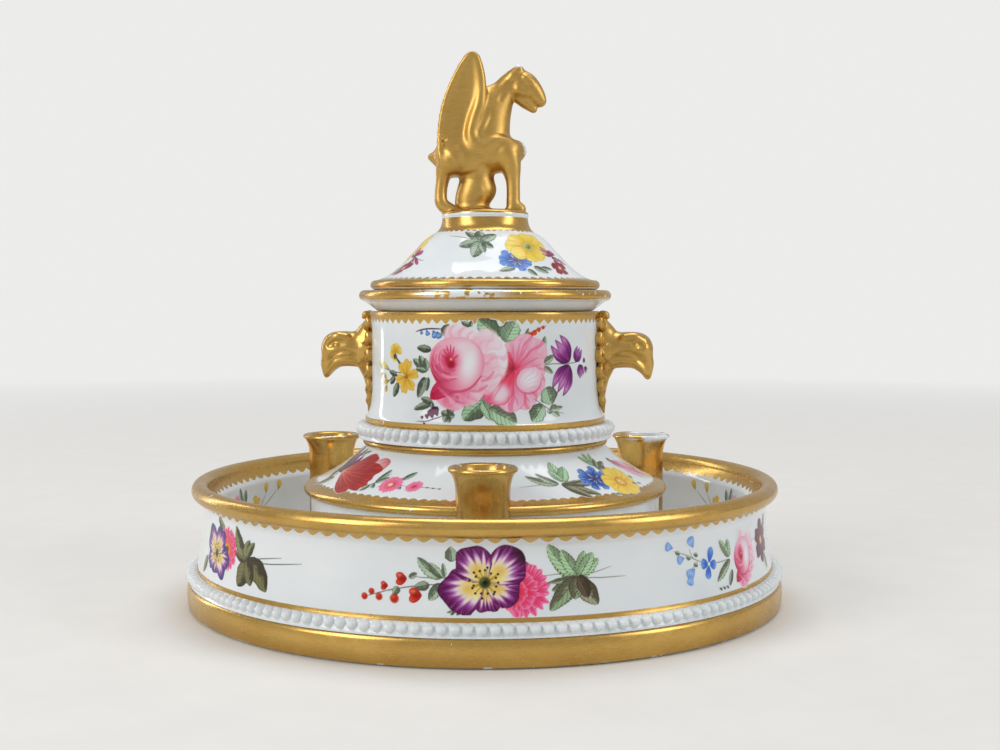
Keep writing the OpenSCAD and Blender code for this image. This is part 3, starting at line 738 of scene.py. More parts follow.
beast = Clay((-15.6, -8.8, -0.6), (17.2, 8.8, 41.0), 0.25)
beast.roll((-8.4, 0, 13.6, 4.4), (-5.5, 0, 13.6, 4.9), (-0.5, 0, 14.1, 4.9), (4.4, 0, 14.6, 4.4), (7.2, 0, 15.2, 3.0),
           flat=1.06)
beast.roll((-9.8, 0, 13.4, 2.8), (-12.2, 0, 13.7, 1.8), (-13.7, 0, 13.9, 0.95), flat=1.2, soft=1.2)
beast.roll((1.2, 0, 16.0, 5.0), (1.8, 0, 20.3, 4.5), (2.4, 0, 24.0, 4.1), (3.5, 0, 27.5, 3.6), (4.9, 0, 30.6, 3.1),
           (6.6, 0, 32.4, 2.95), (8.4, 0, 33.1, 3.0), (10.3, 0, 32.4, 2.95), (11.9, 0, 30.9, 2.6),
           (13.1, 0, 29.4, 2.2), (13.9, 0, 28.2, 1.75), flat=0.92, soft=1.6)
beast.roll((-1.2, 0, 16.0, 4.8), (-0.4, 0, 20.0, 4.6), (0.2, 0, 24.0, 4.3), (0.6, 0, 27.2, 3.8), (1.2, 0, 29.2, 2.6),
           flat=1.05, soft=2.0)
beast.roll((8.2, 0, 29.9, 2.1), (9.7, 0, 28.3, 1.75), (11.1, 0, 27.0, 1.35), (12.3, 0, 26.0, 1.0), flat=0.95,
           soft=0.6)
for side in (-1, 1):
    beast.blade(wing_outline(side), lambda x, z: side * wing_middle(z), wing_thick, soft=1.6, edge=0.7)
    beast.roll((-2.0, 3.9, 38.2, 0.6), (-1.3, 4.0, 35.0, 0.95), (-0.9, 4.0, 31.0, 1.15), (-1.3, 4.1, 27.0, 1.3),
               (-2.7, 4.2, 22.9, 1.35), (-3.4, 4.3, 19.4, 1.35), (-2.5, 4.5, 16.9, 1.35), (-0.4, 4.6, 16.1, 1.35),
               (2.2, 4.5, 17.2, 1.3), (4.6, 3.9, 17.5, 1.2), (7.4, 2.6, 16.4, 1.4), soft=1.3, side=side)
    beast.roll((1.5, 5.1, 25.6, 0.3), (0.8, 5.1, 24.0, 0.7), (-0.2, 5.3, 21.9, 0.75), (-0.7, 5.6, 20.2, 0.4),
               soft=0.8, press=True, side=side)
    for k in range(17):
        z = 16.2 + 1.24 * k
        x = wing_rear(z) - far_shift(z, side)
        y = wing_middle(z) + 1.75
        beast.roll((x + 0.9, y, z - 0.35, 0.12), (x + 1.7, y, z + 0.05, 0.34), (x + 2.6, y - 0.1, z + 0.7, 0.12),
                   soft=0.3, press=True, side=side)
    beast.roll((5.6, 2.4, 14.5, 3.3), (6.6, 2.5, 11.4, 2.5), (7.1, 2.6, 8.0, 1.8), (7.2, 2.6, 4.2, 1.7),
               (7.3, 2.6, 1.8, 1.75), (8.8, 2.6, 0.5, 1.6), soft=1.2, side=side)
    beast.roll((-8.0, 2.8, 13.0, 3.7), (-10.2, 3.0, 10.6, 2.2), (-10.9, 3.0, 7.8, 1.5), (-11.3, 3.0, 4.4, 1.45),
               (-10.9, 3.0, 1.9, 1.65), (-8.6, 2.9, 0.2, 1.6), soft=1.2, side=side)
    beast.roll((7.2, 1.3, 34.2, 1.6), (8.5, 1.5, 35.8, 1.25), soft=1.0, side=side)
    beast.roll((9.4, 2.6, 29.3, 0.35), (11.2, 2.5, 28.3, 0.45), (13.0, 2.1, 26.9, 0.5), (14.0, 1.2, 26.0, 0.5),
               soft=0.5, press=True, side=side)
    beast.roll((8.6, 1.5, 30.8, 1.7), (10.2, 1.5, 30.0, 1.3), soft=0.9, side=side)
    beast.roll((7.6, 3.0, 32.9, 0.35), (5.4, 3.2, 31.2, 0.45), (3.9, 3.7, 28.0, 0.3), soft=0.7, press=True, side=side)
    beast.roll((10.2, 2.3, 33.6, 0.8), (11.7, 1.9, 32.6, 0.75), soft=0.8, side=side)
    beast.roll((10.9, 2.75, 32.2, 0.3), (11.5, 2.6, 31.7, 0.3), soft=0.4, press=True, side=side)
    beast.roll((14.2, 0.8, 28.7, 0.7), (14.7, 0.8, 28.0, 0.65), soft=0.5, side=side)
beast.roll((8.0, 0, 15.9, 2.0), (8.7, 0, 15.7, 1.75), soft=1.0)
beast.roll((-3.3, 0, 0.2, 4.1), (-3.4, 0, 2.6, 4.3), (-2.6, 0, 5.0, 4.6), (-2.4, 0, 6.4, 4.4), soft=1.0)
beast.roll((-0.2, 0, 5.7, 3.0), (-1.0, 0, 5.4, 3.4), flat=1.1, soft=1.4)
beast.roll((-2.0, 0, 8.8, 4.2), (-2.2, 0, 12, 4.4), soft=0.9)
for side in (-1, 1):
    beast.roll((-7.0, 1.6, 8.2, 0.3), (-4.6, 4.2, 7.9, 0.4), (-1.2, 4.9, 8.1, 0.5), (1.6, 3.3, 8.5, 0.5),
               (3.2, 0.6, 8.6, 0.4), soft=0.6, press=True, side=side)
beast.roll((-7.6, 0, -1.1, 1.6), (-2.0, 0, -1.2, 2.1), (5.8, 0, -1.1, 1.7), flat=3.6, soft=1.8)
finial = beast.skin("winged_beast", (0, 0, plinth_top))
set_up(finial, "beast_body beast_neck_and_head beast_near_wing beast_far_wing beast_near_foreleg beast_far_foreleg "
               "beast_near_hind_leg beast_far_hind_leg beast_support",
       "cover", gilded("beast_gilding", worn=modelled_wear(2.6, more=beast_wear), dull=0.34))
plinth = turned("finial_plinth_disc", softened(
    [(0, 96.6), (10.95, 96.6, 0), (11.1, 96.8, 0.2), (11.05, 97.7, 0.5), (10.2, 98.35, 0.8), (0, 98.6)]), sides=160)
set_up(plinth, "finial_plinth", "cover", gilded(
    "plinth_gilding", worn=lambda f: (f.up + f.cloud(200, 2) * 0.5).under(97.55, 0.12)))

# ---- The flower painting ----
# Sprays of garden flowers are painted over the glaze in enamel colours and fired again, so the paint is sunk into the
# gloss. They are on the tray outside and inside, on the shoulder, on both faces of the drum and round the cover.

PAINT_GRAIN, PAINT_THICK = 0.14, 0.022
THIN_END, RIM_WIDE, STROKE_SOFT = 0.35, 0.4, 0.16
DRY, FAINT = 0.01, 0.012
MINT = "#d0e6d4"


def along_stops(place, stops):
    """The colours along a brush load. stops gives the colour at each place."""
    shades = np.array([tint(colour) if isinstance(colour, str) else colour for colour in stops.values()])
    return np.stack([np.interp(place, list(stops), shades[:, k]) for k in range(3)], -1)


class Painting:
    """Enamel on the glaze. s runs to the right round the ware and t up it, in millimetres."""

    def __init__(self, s0, s1, t0, t1, seed):
        self.s, self.t = np.meshgrid(np.arange(s0, s1, PAINT_GRAIN), np.arange(t0, t1, PAINT_GRAIN))
        self.colour = np.tile(tint(GLAZE_WHITE), self.s.shape + (1,))
        self.cover = np.zeros(self.s.shape)
        self.dice = np.random.default_rng(seed)

    def lay(self, mask, colour, within=None):
        mask = mask if within is None else mask * within
        colour = tint(colour) if isinstance(colour, str) else colour
        self.colour += (colour - self.colour) * mask[..., None]
        self.cover += (1 - self.cover) * mask
        return mask

    def wander(self, x, often, size):
        """The unsteadiness of the hand: a smooth wave that doesn't repeat."""
        dice = self.dice.uniform
        return sum(np.sin(x * often * dice(0.5, 1.7) + dice(0, 6.3)) for k in range(5)) * size / 3

    def stroke(self, points, wide, colour, strength=1.0, within=None):
        """A line drawn with the tip of the brush, thinner at its ends."""
        points = np.array(points, float)
        if len(points) > 2:
            points = through(points, 4)
        best = np.full(self.s.shape, -9.0)
        count = len(points) - 1
        for k, (a, b) in enumerate(zip(points, points[1:])):
            d = b - a
            ds, dt = self.s - a[0], self.t - a[1]
            f = np.clip((ds * d[0] + dt * d[1]) / max((d * d).sum(), 1e-9), 0, 1)
            x = (k + f) / count
            half = wide / 2 * (THIN_END + (1 - THIN_END) * np.sin(np.pi * x) ** 0.6)
            best = np.maximum(best, half - np.hypot(ds - f * d[0], dt - f * d[1]))
        return self.lay(np.clip(best / STROKE_SOFT + 0.5, 0, 1) * strength, colour, within)

    def wash(self, s, t, wide, high, colour, strength=0.8, tilt=0, hard=1.0, within=None):
        """A soft oval touch of colour."""
        a = radians(tilt)
        ds, dt = self.s - s, self.t - t
        x, y = (ds * cos(a) + dt * sin(a)) / wide, (dt * cos(a) - ds * sin(a)) / high
        mask = np.exp(-((x * x + y * y) ** hard)) * strength
        return self.lay(np.where(mask < FAINT, 0, mask), colour, within)

    def petal(self, root, tip, wide, stops, full=0.6, bend=0.0, streak=0.1, often=9, ruffle=0.04, square=0.55,
              rim=None, soft=0.2):
        """A petal pulled from root to tip. It gives its mask, and where each place is along it and across it."""
        root, tip = np.array(root, float), np.array(tip, float)
        length = np.hypot(*(tip - root))
        a = (tip - root) / length
        ds, dt = self.s - root[0], self.t - root[1]
        u = (ds * a[0] + dt * a[1]) / length
        v = dt * a[0] - ds * a[1] - bend * length * 4 * u * (1 - u)
        inside = np.clip(u, 0.0001, 0.9999)
        half = wide / 2 * np.sin(np.pi * inside ** (log(0.5) / log(full))) ** square
        half = half * (1 + self.wander(u, 12, ruffle))
        gap = np.where((u < 0) | (u > 1), -1, half - np.abs(v))
        mask = np.clip(gap / soft + 0.5, 0, 1)
        across = v / np.maximum(half, 0.05)
        self.lay(mask, along_stops(u + self.wander(across, often, streak), stops))
        if rim:
            self.lay(mask * np.clip(1 - gap / RIM_WIDE, 0, 1) * 0.75, rim)
        return mask, u, across

    def streaks(self, mask, s, t, colour, often=30, strength=0.4):
        """Fine brush lines that run out from a centre, within a mask."""
        turn, out = np.arctan2(self.t - t, self.s - s), np.hypot(self.s - s, self.t - t)
        line = np.clip(self.wander(turn + self.wander(out, 1.1, 0.06), often, 1.7) - 0.3, 0, 1)
        self.lay(mask * line * strength, colour)

    def fan(self, centre, turn, spread, reach, stops, streak=0.1, often=16, ruffle=0.04, rim=None, square=0.42,
            notch=0.0):
        """A broad petal that opens like a fan from the flower's centre. Angles are in degrees."""
        ds, dt = self.s - centre[0], self.t - centre[1]
        out = np.hypot(ds, dt)
        x = ((np.degrees(np.arctan2(dt, ds)) - turn + 180) % 360 - 180) / spread
        shape = np.maximum(1 - np.abs(x) ** 2.4, 0) ** square - notch * np.exp(-((x / 0.3) ** 2))
        edge = reach * shape * (1 + self.wander(x, 7, ruffle))
        mask = np.clip((edge - out) / 0.2 + 0.5, 0, 1) * (np.abs(x) < 1)
        share = out / np.maximum(edge, 0.05) + self.wander(x, often, streak)
        self.lay(mask, along_stops(share, stops))
        if rim:
            self.lay(mask * np.clip(1 - (edge - out) / RIM_WIDE, 0, 1) * 0.7, rim)
        return mask, share, x

    def leaf(self, root, tip, wide, light, dark, bend=0.0, side=1, teeth=0.0, shadow=0.8, mint=0.45):
        """A leaf with one half in shadow, its midrib and veins drawn in brown, and a broken outline."""
        light = tint(light) * (1 - mint) + tint(MINT) * mint
        middle = light * 0.55 + tint(dark) * 0.45
        mask, u, across = self.petal(root, tip, wide * 1.12, {0: middle, 0.22: light, 1: light}, full=0.45,
                                     bend=bend, often=5, ruffle=0.05 + teeth, square=0.6)
        half = np.clip(side * across * 2.4 + 0.2 + self.wander(u, 14, 0.4), 0, 1) * mask
        self.lay(half * shadow * 0.85, dark)
        vein = np.abs((u * 6.5 - np.abs(across) * 1.7) % 1 - 0.5)
        self.lay(np.clip((0.11 - vein) * 12, 0, 1) * mask * (u < 0.92) * 0.5, "#37352a")
        self.lay(np.clip(1 - np.abs(across) * wide / 2 / 0.12, 0, 1) * mask * 0.85, "#33312a")
        broken = np.clip(np.sin(u * wide * 22 + across * 3) * 2 + 0.6, 0.12, 1)
        self.lay(np.clip((np.abs(across) - 0.76) * 8, 0, 1) * mask * broken * 0.75, "#3a382c")

    def leaves(self, root, tips, light, dark, **how):
        """Leaves in two colours from one root. tips gives each tip, how wide the leaf is, and its bend if any."""
        for s, t, wide, *bend in tips:
            self.leaf(root, (s, t), wide, light, dark, *bend, **how)

    def twigs(self, rows, *colours, **how):
        """Leaves in two colours that have their own roots. rows gives each leaf's root, tip and width."""
        for root, tip, wide in rows:
            self.leaf(root, tip, wide, *colours, **how)

    def stem(self, *points, wide=0.28, colour="#4b4a3c"):
        return self.stroke(points, wide, colour, 0.85)

    def dot(self, s, t, size, colour, light=None):
        """A berry, a bud or a dot, with its light on the upper left."""
        mask = self.wash(s, t, size, size, colour, 1.0, hard=3)
        if light:
            self.wash(s - size * 0.3, t + size * 0.3, size * 0.45, size * 0.4, light, 0.8, within=mask)
        return mask

    def rose(self, s, t, r):
        """A full cabbage rose: pale outer petals, a deep bowl, and folds closing round a crimson heart."""
        at = lambda x, y: (s + r * x, t + r * y)
        outer = (
            ((-0.2, 0.1), (0.62, 1.16), 1.7, {0: "#ee9db8", 0.45: "#f5c6d5", 1: "#f8e4ea"}, 0.62, 0.08, 0.9, None),
            ((0.2, 0), (1.78, 0.52), 1.9, {0: "#e68cab", 0.5: "#f4ccd9", 1: "#f9ebef"}, 0.66, 0.07, 1.2, None),
            ((0.1, -0.2), (1.62, -0.42), 1.5, {0: "#e27a9e", 0.5: "#f2b6c9", 1: "#f7dbe4"}, 0.6, 0.1, 0.9, None),
            ((-0.2, -0.4), (0.86, -1.24), 1.25, {0: "#d9527f", 0.5: "#ee97b3", 1: "#f5c8d7"}, 0.62, 0.1, 0.6, None),
            ((-0.4, -0.4), (0.12, -1.62), 1.15, {0: "#d04573", 0.6: "#eb86a8", 1: "#f3b3c8"}, 0.6, 0.1, 0.5,
             "#e58aaa"),
            ((-0.2, -0.7), (-0.5, -1.5), 0.95, {0: "#d6537f", 1: "#ee98b4"}, 0.6, 0.1, 0.4, None))
        skirt = np.max([self.petal(at(*root), at(*tip), r * wide, stops, full, streak=streak, soft=soft, rim=rim)[0]
                        for root, tip, wide, stops, full, streak, soft, rim in outer], 0)
        self.streaks(skirt, *at(-0.2, -0.6), "#dd7398", 21, 0.26)
        self.streaks(skirt, *at(-0.4, 0.9), "#fdf4f7", 19, 0.3)
        self.petal(at(0.15, -0.75), at(-1.0, -1.22), r * 0.62, {0: "#e8809f", 0.5: "#d63f6d", 1: "#bb1442"}, 0.55,
                   bend=-0.1, rim="#c02350")
        bowl = self.fan((s, t), 90, 180, r, {0: "#f3a9c0", 0.75: "#f0a0b9", 1: "#eb8eac"}, 0.03, square=0.0)[0]
        for x, y, wide, high, *touch in (
                (-0.75, -0.5, 0.62, 0.75, "#d63f6c", 0.85, 35), (-0.98, -0.42, 0.27, 0.55, "#9c0528", 1.0, 28),
                (-0.45, 0.75, 0.75, 0.35, "#f6bfd0", 0.7, 25), (0.46, 0.02, 0.4, 0.78, "#fbf1f4", 0.95, -8, 1.3),
                (0.2, 0.62, 0.4, 0.3, "#f9e0e8", 0.8)):
            self.wash(*at(x, y), r * wide, r * high, *touch, within=bowl)
        for turn, size, deep in ((200, 0.86, 0.5), (225, 0.74, 0.55), (250, 0.66, 0.5), (195, 0.56, 0.6),
                                 (230, 0.46, 0.6), (265, 0.36, 0.5), (160, 0.66, 0.35), (140, 0.45, 0.4)):
            fold = [at(*ray((-0.22, 0.1), turn + d, size)) for d in (-38, -14, 12, 40)]
            self.stroke(fold, r * 0.11, "#d24371", deep, bowl)
            self.stroke([(x + r * 0.07, y + r * 0.07) for x, y in fold], r * 0.09, "#fad7e2", deep * 0.9, bowl)
        self.wash(*at(-0.25, 0.1), r * 0.36, r * 0.36, "#e0507b", 0.75, hard=1.5, within=bowl)
        for turn in (60, 85, 110, 135, 20, 160):
            self.stroke([at(-0.22, 0.12), at(*ray((-0.22, 0.12), turn, 0.2, 0.3)),
                         at(*ray((-0.24, 0.12), turn, 0.33, 0.56))], r * 0.06, "#cf2f5f", 0.7, bowl)
        self.wash(*at(-0.19, -0.02), r * 0.16, r * 0.17, "#a90d2f", 0.95, hard=1.6, within=bowl)
        self.wash(*at(-0.33, 0.14), r * 0.1, r * 0.13, "#b81c40", 0.8, within=bowl)
        self.dot(*at(-0.19, 0.16), r * 0.05, "#eeb27a")
        self.stroke([at(*ray((0, 0), d, 0.99)) for d in (-165, -130, -95, -60, -25)], r * 0.1, "#c93a66", 0.6)
        self.stroke([at(*ray((0, 0), d, 0.985)) for d in (-25, 5, 35, 60)], r * 0.05, "#e08fab", 0.5)
        for y, reach in ((0.85, 1.25), (0.4, 1.4), (-0.1, 1.4), (-0.5, 1.2)):
            self.stroke([at(1.04, y * 0.8 - 0.1), at(0.55 + reach * 0.5, y - 0.05), at(reach, y - 0.02)], r * 0.08,
                        "#eeb1c6", 0.45)
        for x, y, x2, y2 in ((-0.7, -0.75, 0.1, -1.2), (-0.4, -1.0, 0.3, -1.4), (0.5, -0.95, 1.1, -0.75),
                             (0.9, -0.6, 1.35, -0.25)):
            x1, y1 = (x + x2) / 2 + 0.02, (y + y2) / 2
            self.stroke([at(x, y), at(x1, y1 - 0.1), at(x2, y2)], r * 0.12, "#d2527d", 0.4, skirt)
            self.stroke([at(x, y - 0.09), at(x1, y1 - 0.2), at(x2, y2 - 0.09)], r * 0.13, "#f6cbd9", 0.3, skirt)

    def peony(self, s, t, r):
        """An open double flower with a coral throat. Its front petal is a pale cup that turns over."""
        at = lambda x, y: (s + r * x, t + r * y)
        stops = {0: "#e2476f", 0.3: "#ee86a6", 0.7: "#f4b1c8", 1: "#f6c6d6"}
        outer = (((0, 0), (1.15, 0.82), 1.0, 0.12, "#ee9ab8"), ((0, 0), (0.62, 1.12), 0.9, 0.14, "#ee9ab8"),
                 ((0, 0), (0.12, 0.95), 0.85, 0.14, "#ef9fbb"), ((0, 0), (1.2, 0.12), 0.9, 0.12, "#ec8fae"),
                 ((0.1, -0.1), (1.05, -0.78), 1.0, 0.1, "#ea87a8"), ((0, -0.1), (0.62, -1.3), 0.9, 0.12, "#e77c9f"),
                 ((0, 0), (-0.1, -1.42), 1.0, 0.12, "#e46f95"))
        skirt = np.max([self.petal(at(*root), at(*tip), r * wide, stops, 0.66, streak=streak, rim=rim, soft=0.4)[0]
                        for root, tip, wide, streak, rim in outer], 0)
        self.streaks(skirt, s, t, "#dc4d7c", 24, 0.4)
        self.streaks(skirt, s, t, "#fbe3eb", 21, 0.3)
        self.petal(at(0, -0.1), at(-0.95, -1.02), r * 1.15, {0: "#e34c72", 0.5: "#ee8cab", 1: "#e7648c"}, 0.6,
                   rim="#dc4a78")
        self.petal(at(0.05, 0), at(-0.62, 0.42), r * 0.75, {0: "#dd3a5f", 1: "#f08ca5"}, 0.6, rim="#ea7592")
        self.wash(*at(-0.25, -0.2), r * 0.4, r * 0.34, "#e8435f", 0.75)
        self.wash(*at(-0.42, -0.82), r * 0.26, r * 0.33, "#f9dfe7", 0.95, -30, 2)
        cup = self.petal(at(0.18, -0.66), at(0.92, -0.06), r * 0.84, {0: "#f3b9cc", 1: "#f6cad9"}, 0.55, square=0.4,
                         soft=0.3)[0]
        self.wash(*at(0.56, -0.34), r * 0.36, r * 0.29, "#fbeef3", 1.0, 35, 1.6, within=cup)
        self.streaks(cup, *at(0.05, -0.8), "#f0a9c1", 26, 0.5)
        rolled_rim = [at(*ray((0.54, -0.37), d, 0.47, 0.44)) for d in (165, 205, 245, 285, 325, 5)]
        self.stroke(rolled_rim, r * 0.08, "#e4709a", 0.7)
        for turn, near, far in ((40, 0.3, 0.95), (55, 0.3, 1.0), (72, 0.3, 0.95), (88, 0.25, 0.8), (20, 0.35, 0.95),
                                (5, 0.4, 1.0), (-100, 0.9, 1.3), (-85, 0.9, 1.2), (-65, 0.95, 1.25), (-50, 0.95, 1.2),
                                (-128, 0.5, 1.2)):
            a = radians(turn)
            self.stroke([at(near * cos(a), near * sin(a)), at(far * cos(a + 0.05), far * sin(a + 0.05))], r * 0.05,
                        "#e0618b", 0.5)
        self.wash(*at(0.0, 0.02), r * 0.16, r * 0.13, "#d41f46", 0.85, 40)
        for turn in (100, 125, 150, 175, 200, 225):
            self.stroke([at(0.02, 0), at(*ray((0, 0), turn, 0.26)), at(*ray((0, 0), turn, 0.4, 0.36))], 0.17,
                        "#5a4a3a", 0.75)

    def pansy(self, s, t, r, margin="#6b125c", dark="#3a0830", mirrored=False):
        """A heartsease, with a yellow eye that runs out in rays through lilac to a purple margin."""
        rays = {0: "#c9a545", 0.2: "#e9d36f", 0.46: "#f1e7b4", 0.6: "#e3d2e2", 0.74: "#a2559f", 0.88: margin,
                1.1: margin}
        for turn, spread, reach in ((-80, 54, 0.74), (-22, 50, 0.92), (201, 58, 1.13), (37, 48, 1.17),
                                    (122, 58, 0.97)):
            turn = 180 - turn if mirrored else turn
            mask, share, x = self.fan((s, t), turn, spread, r * reach, rays, streak=0.13, often=24, ruffle=0.06,
                                      rim=dark)
            self.streaks(mask * np.clip(share * 2.4 - 1.2, 0, 1), s, t, "#c488c2", 70, 0.45)
            self.streaks(mask * np.clip(share * 2.4 - 1.4, 0, 1), s, t, dark, 60, 0.5)
            self.lay(np.clip((np.abs(x) - 0.78) * 4, 0, 1) * mask * 0.5, margin)
            glow = s + cos(radians(turn)) * r * reach * 0.4, t + sin(radians(turn)) * r * reach * 0.4
            self.wash(*glow, r * 0.17, r * 0.15, "#ddb653", 0.75, within=mask)
        self.wash(s + (-r if mirrored else r), t + r * 0.7, r * 0.26, r * 0.24, "#380728", 0.95, hard=1.6,
                  within=np.minimum(1, self.cover))
        for k in range(19):
            a = 2 * pi * k / 19 + 0.1 * sin(k * 2.1)
            far = r * (0.33 + 0.06 * sin(k * 3.7))
            tip = (s + far * cos(a), t + far * sin(a))
            self.stroke([(s + r * 0.16 * cos(a), t + r * 0.16 * sin(a)), tip], 0.15, "#8a5b2c", 0.8)
            self.dot(*tip, r * 0.032, "#2c1a12")
        self.dot(s, t, r * 0.15, "#39421f", "#7f8a52")
        self.dot(s, t, r * 0.06, "#15190c")

    def carnation(self, s, t, r, throat=(-0.5, -0.1), petals=10, heart="#d62c1e", edge="#e8508a"):
        """A pink: notched petals run from an orange throat to a bright pink edge."""
        stops = {0: heart, 0.4: "#df3850", 0.8: edge, 1: "#f294b6"}
        for ring, size, count in ((0, 1.06, petals), (1, 0.78, petals - 1), (2, 0.52, petals - 3)):
            middle = (s + throat[0] * r * 0.3 * ring, t + throat[1] * r * 0.3 * ring)
            for k in range(count):
                self.fan(middle, 360 * (k + 0.5 * ring) / count, 290 / count, r * size, stops, streak=0.16,
                         often=18, ruffle=0.09, notch=0.1)
        self.wash(s + throat[0] * r, t + throat[1] * r, r * 0.42, r * 0.42, heart, 0.7,
                  within=np.minimum(self.cover, 1))

    def daisy(self, s, t, r, petals, light, deep, eye):
        """A single yellow flower with broad petals."""
        for k in range(petals):
            turn = 360 * k / petals + 8 * sin(k * 2.3) + 14
            self.fan((s, t), turn, 205 / petals, r * (1 + 0.08 * sin(k * 1.9)),
                     {0: deep, 0.3: "#dcae34", 0.7: light, 1: light}, streak=0.13, often=12, ruffle=0.06,
                     rim="#c99f35")
            self.stroke([ray((s, t), turn, r * 0.2), ray((s, t), turn, r * 0.8)], 0.16, deep, 0.6)
        self.dot(s, t, r * 0.16, eye, "#e6b95a")

    def cornflower(self, s, t, r, light="#7fa9e0", deep="#2d56a8"):
        """Narrow toothed petals in blue."""
        for k in range(15):
            reach = r * (0.86 + 0.16 * sin(k * 2.7))
            tip = ray((s, t), 360 * k / 15 + 6 * sin(k * 4.1), reach, reach * 0.82)
            self.petal((s, t), tip, r * 0.44, {0: "#1f3f8c", 0.5: deep, 1: light}, 0.8, streak=0.2, square=0.7)
        self.wash(s, t, r * 0.26, r * 0.22, "#26315f", 0.85)

    def tulip(self, root, tip, wide, light, deep):
        """A closed flower seen from the side: three petals, parted at the tip."""
        root, tip = np.array(root, float), np.array(tip, float)
        side = np.array([root[1] - tip[1], tip[0] - root[0]]) * 0.17
        for bow_out in (-1, 1):
            self.petal(root, tip + side * 1.5 * bow_out, wide * 0.6, {0: "#4b124f", 0.5: deep, 0.8: light, 1: deep},
                       0.45, 0.12 * bow_out, streak=0.12, square=0.8, rim="#5a175c")
        self.petal(root, tip * 1.02 - root * 0.02, wide * 0.5, {0: deep, 0.4: deep, 0.8: light, 1: deep}, 0.45,
                   streak=0.16, square=0.85, rim="#5b1a60")
        lean = degrees(atan2(*(tip - root)[::-1])) - 90
        for k in (-1, 0, 1):
            middle = root * 0.4 + tip * 0.6 + side * 0.7 * k
            self.wash(*middle, wide * 0.07, wide * 0.3, light, 0.75, lean)

    def bell(self, s, t, size, turn, light="#9bbce6", deep="#315fae"):
        self.petal((s, t), ray((s, t), turn, size), size * 0.85, {0: deep, 0.6: light, 1: deep}, 0.7, rim=deep)

    def fix(self, name, side, azimuth, node, body="stand", mirrored=False, inward=False):
        """Fires the painting on: side is the ware's outline from the painting's foot up."""
        side = np.array(side, float)[:, :2]
        steps = np.hypot(*np.diff(side, axis=0).T)
        up = np.concatenate([[0], np.cumsum(steps)])
        t = self.t[:, 0]
        r, z = np.interp(t, up, side[:, 0]), np.interp(t, up, side[:, 1])
        dr, dz = np.gradient(r, t), np.gradient(z, t)
        thick = -PAINT_THICK if inward else PAINT_THICK
        r2, z2 = r + dz * thick, z - dr * thick
        sense = -1 if mirrored != inward else 1
        angle = radians(azimuth) + sense * self.s / r[:, None]
        points = np.stack([r2[:, None] * np.cos(angle), r2[:, None] * np.sin(angle), z2[:, None] + 0 * angle], -1)
        wet = self.cover > DRY
        kept = wet[:-1, :-1] | wet[1:, :-1] | wet[:-1, 1:] | wet[1:, 1:]
        number = np.arange(wet.size).reshape(wet.shape)
        quads = np.stack([number[:-1, :-1], number[:-1, 1:], number[1:, 1:], number[1:, :-1]], -1)[kept]
        if mirrored:
            quads = quads[:, ::-1]
        used, quads = np.unique(quads, return_inverse=True)
        patch = piece(name, points.reshape(-1, 3)[used], quads.reshape(-1, 4), sharp=180)
        fired = GLAZE * np.minimum(linear(self.colour) / GLAZE, 1) ** 1.1
        paint = np.concatenate([fired, np.minimum(self.cover * 3, 1)[..., None]], -1).reshape(-1, 4)[used]
        layer = patch.data.color_attributes.new("paint", "FLOAT_COLOR", "POINT")
        layer.data.foreach_set("color", paint.astype(np.float32).ravel())
        set_up(patch, node, body, enamel)


def enamel_finish():
    f = Finish("enamel")
    paint = f.node("VertexColor", {"layer_name": "paint"})
    there = Wire(f, paint.socket.node.outputs["Alpha"])
    touch = f.cloud(1400, 3, 0.6)
    ripple = f.node("Bump", None, {"Strength": 0.3, "Distance": 0.00003, "Height": there * 0.6 + touch * 0.3 * there})
    return f.give(Base_Color=f.blend(there, glaze_colour(f), paint), Roughness=touch * 0.08 * there + 0.07,
                  Normal=ripple, Specular_IOR_Level=0.26)


enamel = enamel_finish()

# The drum's spray, with the rose and the peony, and the same mirrored at the back.
p = Painting(-35, 34, 0.2, 25.8, 11)
p.leaf((-12.9, 18.2), (-17.0, 18.6), 1.7, "#5e6a55", "#2f3128")
p.stem((-17.3, 22.4), (-15.6, 22.9), (-12.8, 23.2), (-9.1, 23.0), wide=0.4, colour="#3b2436")
for s, t, size in ((-15.9, 22.8, 1.1), (-14.3, 22.9, 1.5), (-12.5, 22.9, 2.1), (-11.4, 22.6, 1.9)):
    p.bell(s, t, size, -68)
for tip in ((-8.2, 24.2), (-7.6, 23.0), (-9.0, 21.6)):
    p.leaf((-10.4, 22.7), tip, 1.1, "#7b9069", "#35392b")
p.twigs((((-3.2, 23.8), (-5.4, 24.9), 1.1), ((-3.2, 23.6), (-2.9, 25.2), 0.9)), "#7d8f70", "#3b4031")
p.leaf((3.6, 21.2), (-1.4, 25.4), 4.3, "#8fc58e", "#4b5240", side=-1, teeth=0.04)
p.leaf((5.0, 20.0), (7.6, 24.9), 4.8, "#a5d7a5", "#5f6a58", side=1, teeth=0.04, shadow=0.6)
p.stem((8.4, 20.2), (10.4, 21.6), (12.6, 22.8), (15.6, 23.9), colour="#9a4a30")
for k, (s, t) in enumerate(((11.4, 21.9), (12.5, 22.4), (13.6, 23.0), (14.8, 23.4))):
    p.petal((s - 0.1, t + 0.5), (s - 0.2, t - 1.1 + 0.2 * k), 1.5 - 0.2 * k, {0: "#c93a1f", 1: "#ee7247"}, 0.5,
            rim="#b8341c")
p.leaf((9.8, 20.9), (10.9, 23.4), 0.7, "#8a927a", "#5c5a49")
p.leaf((14.6, 18.0), (15.3, 21.4), 1.3, "#a7bd96", "#58604a")
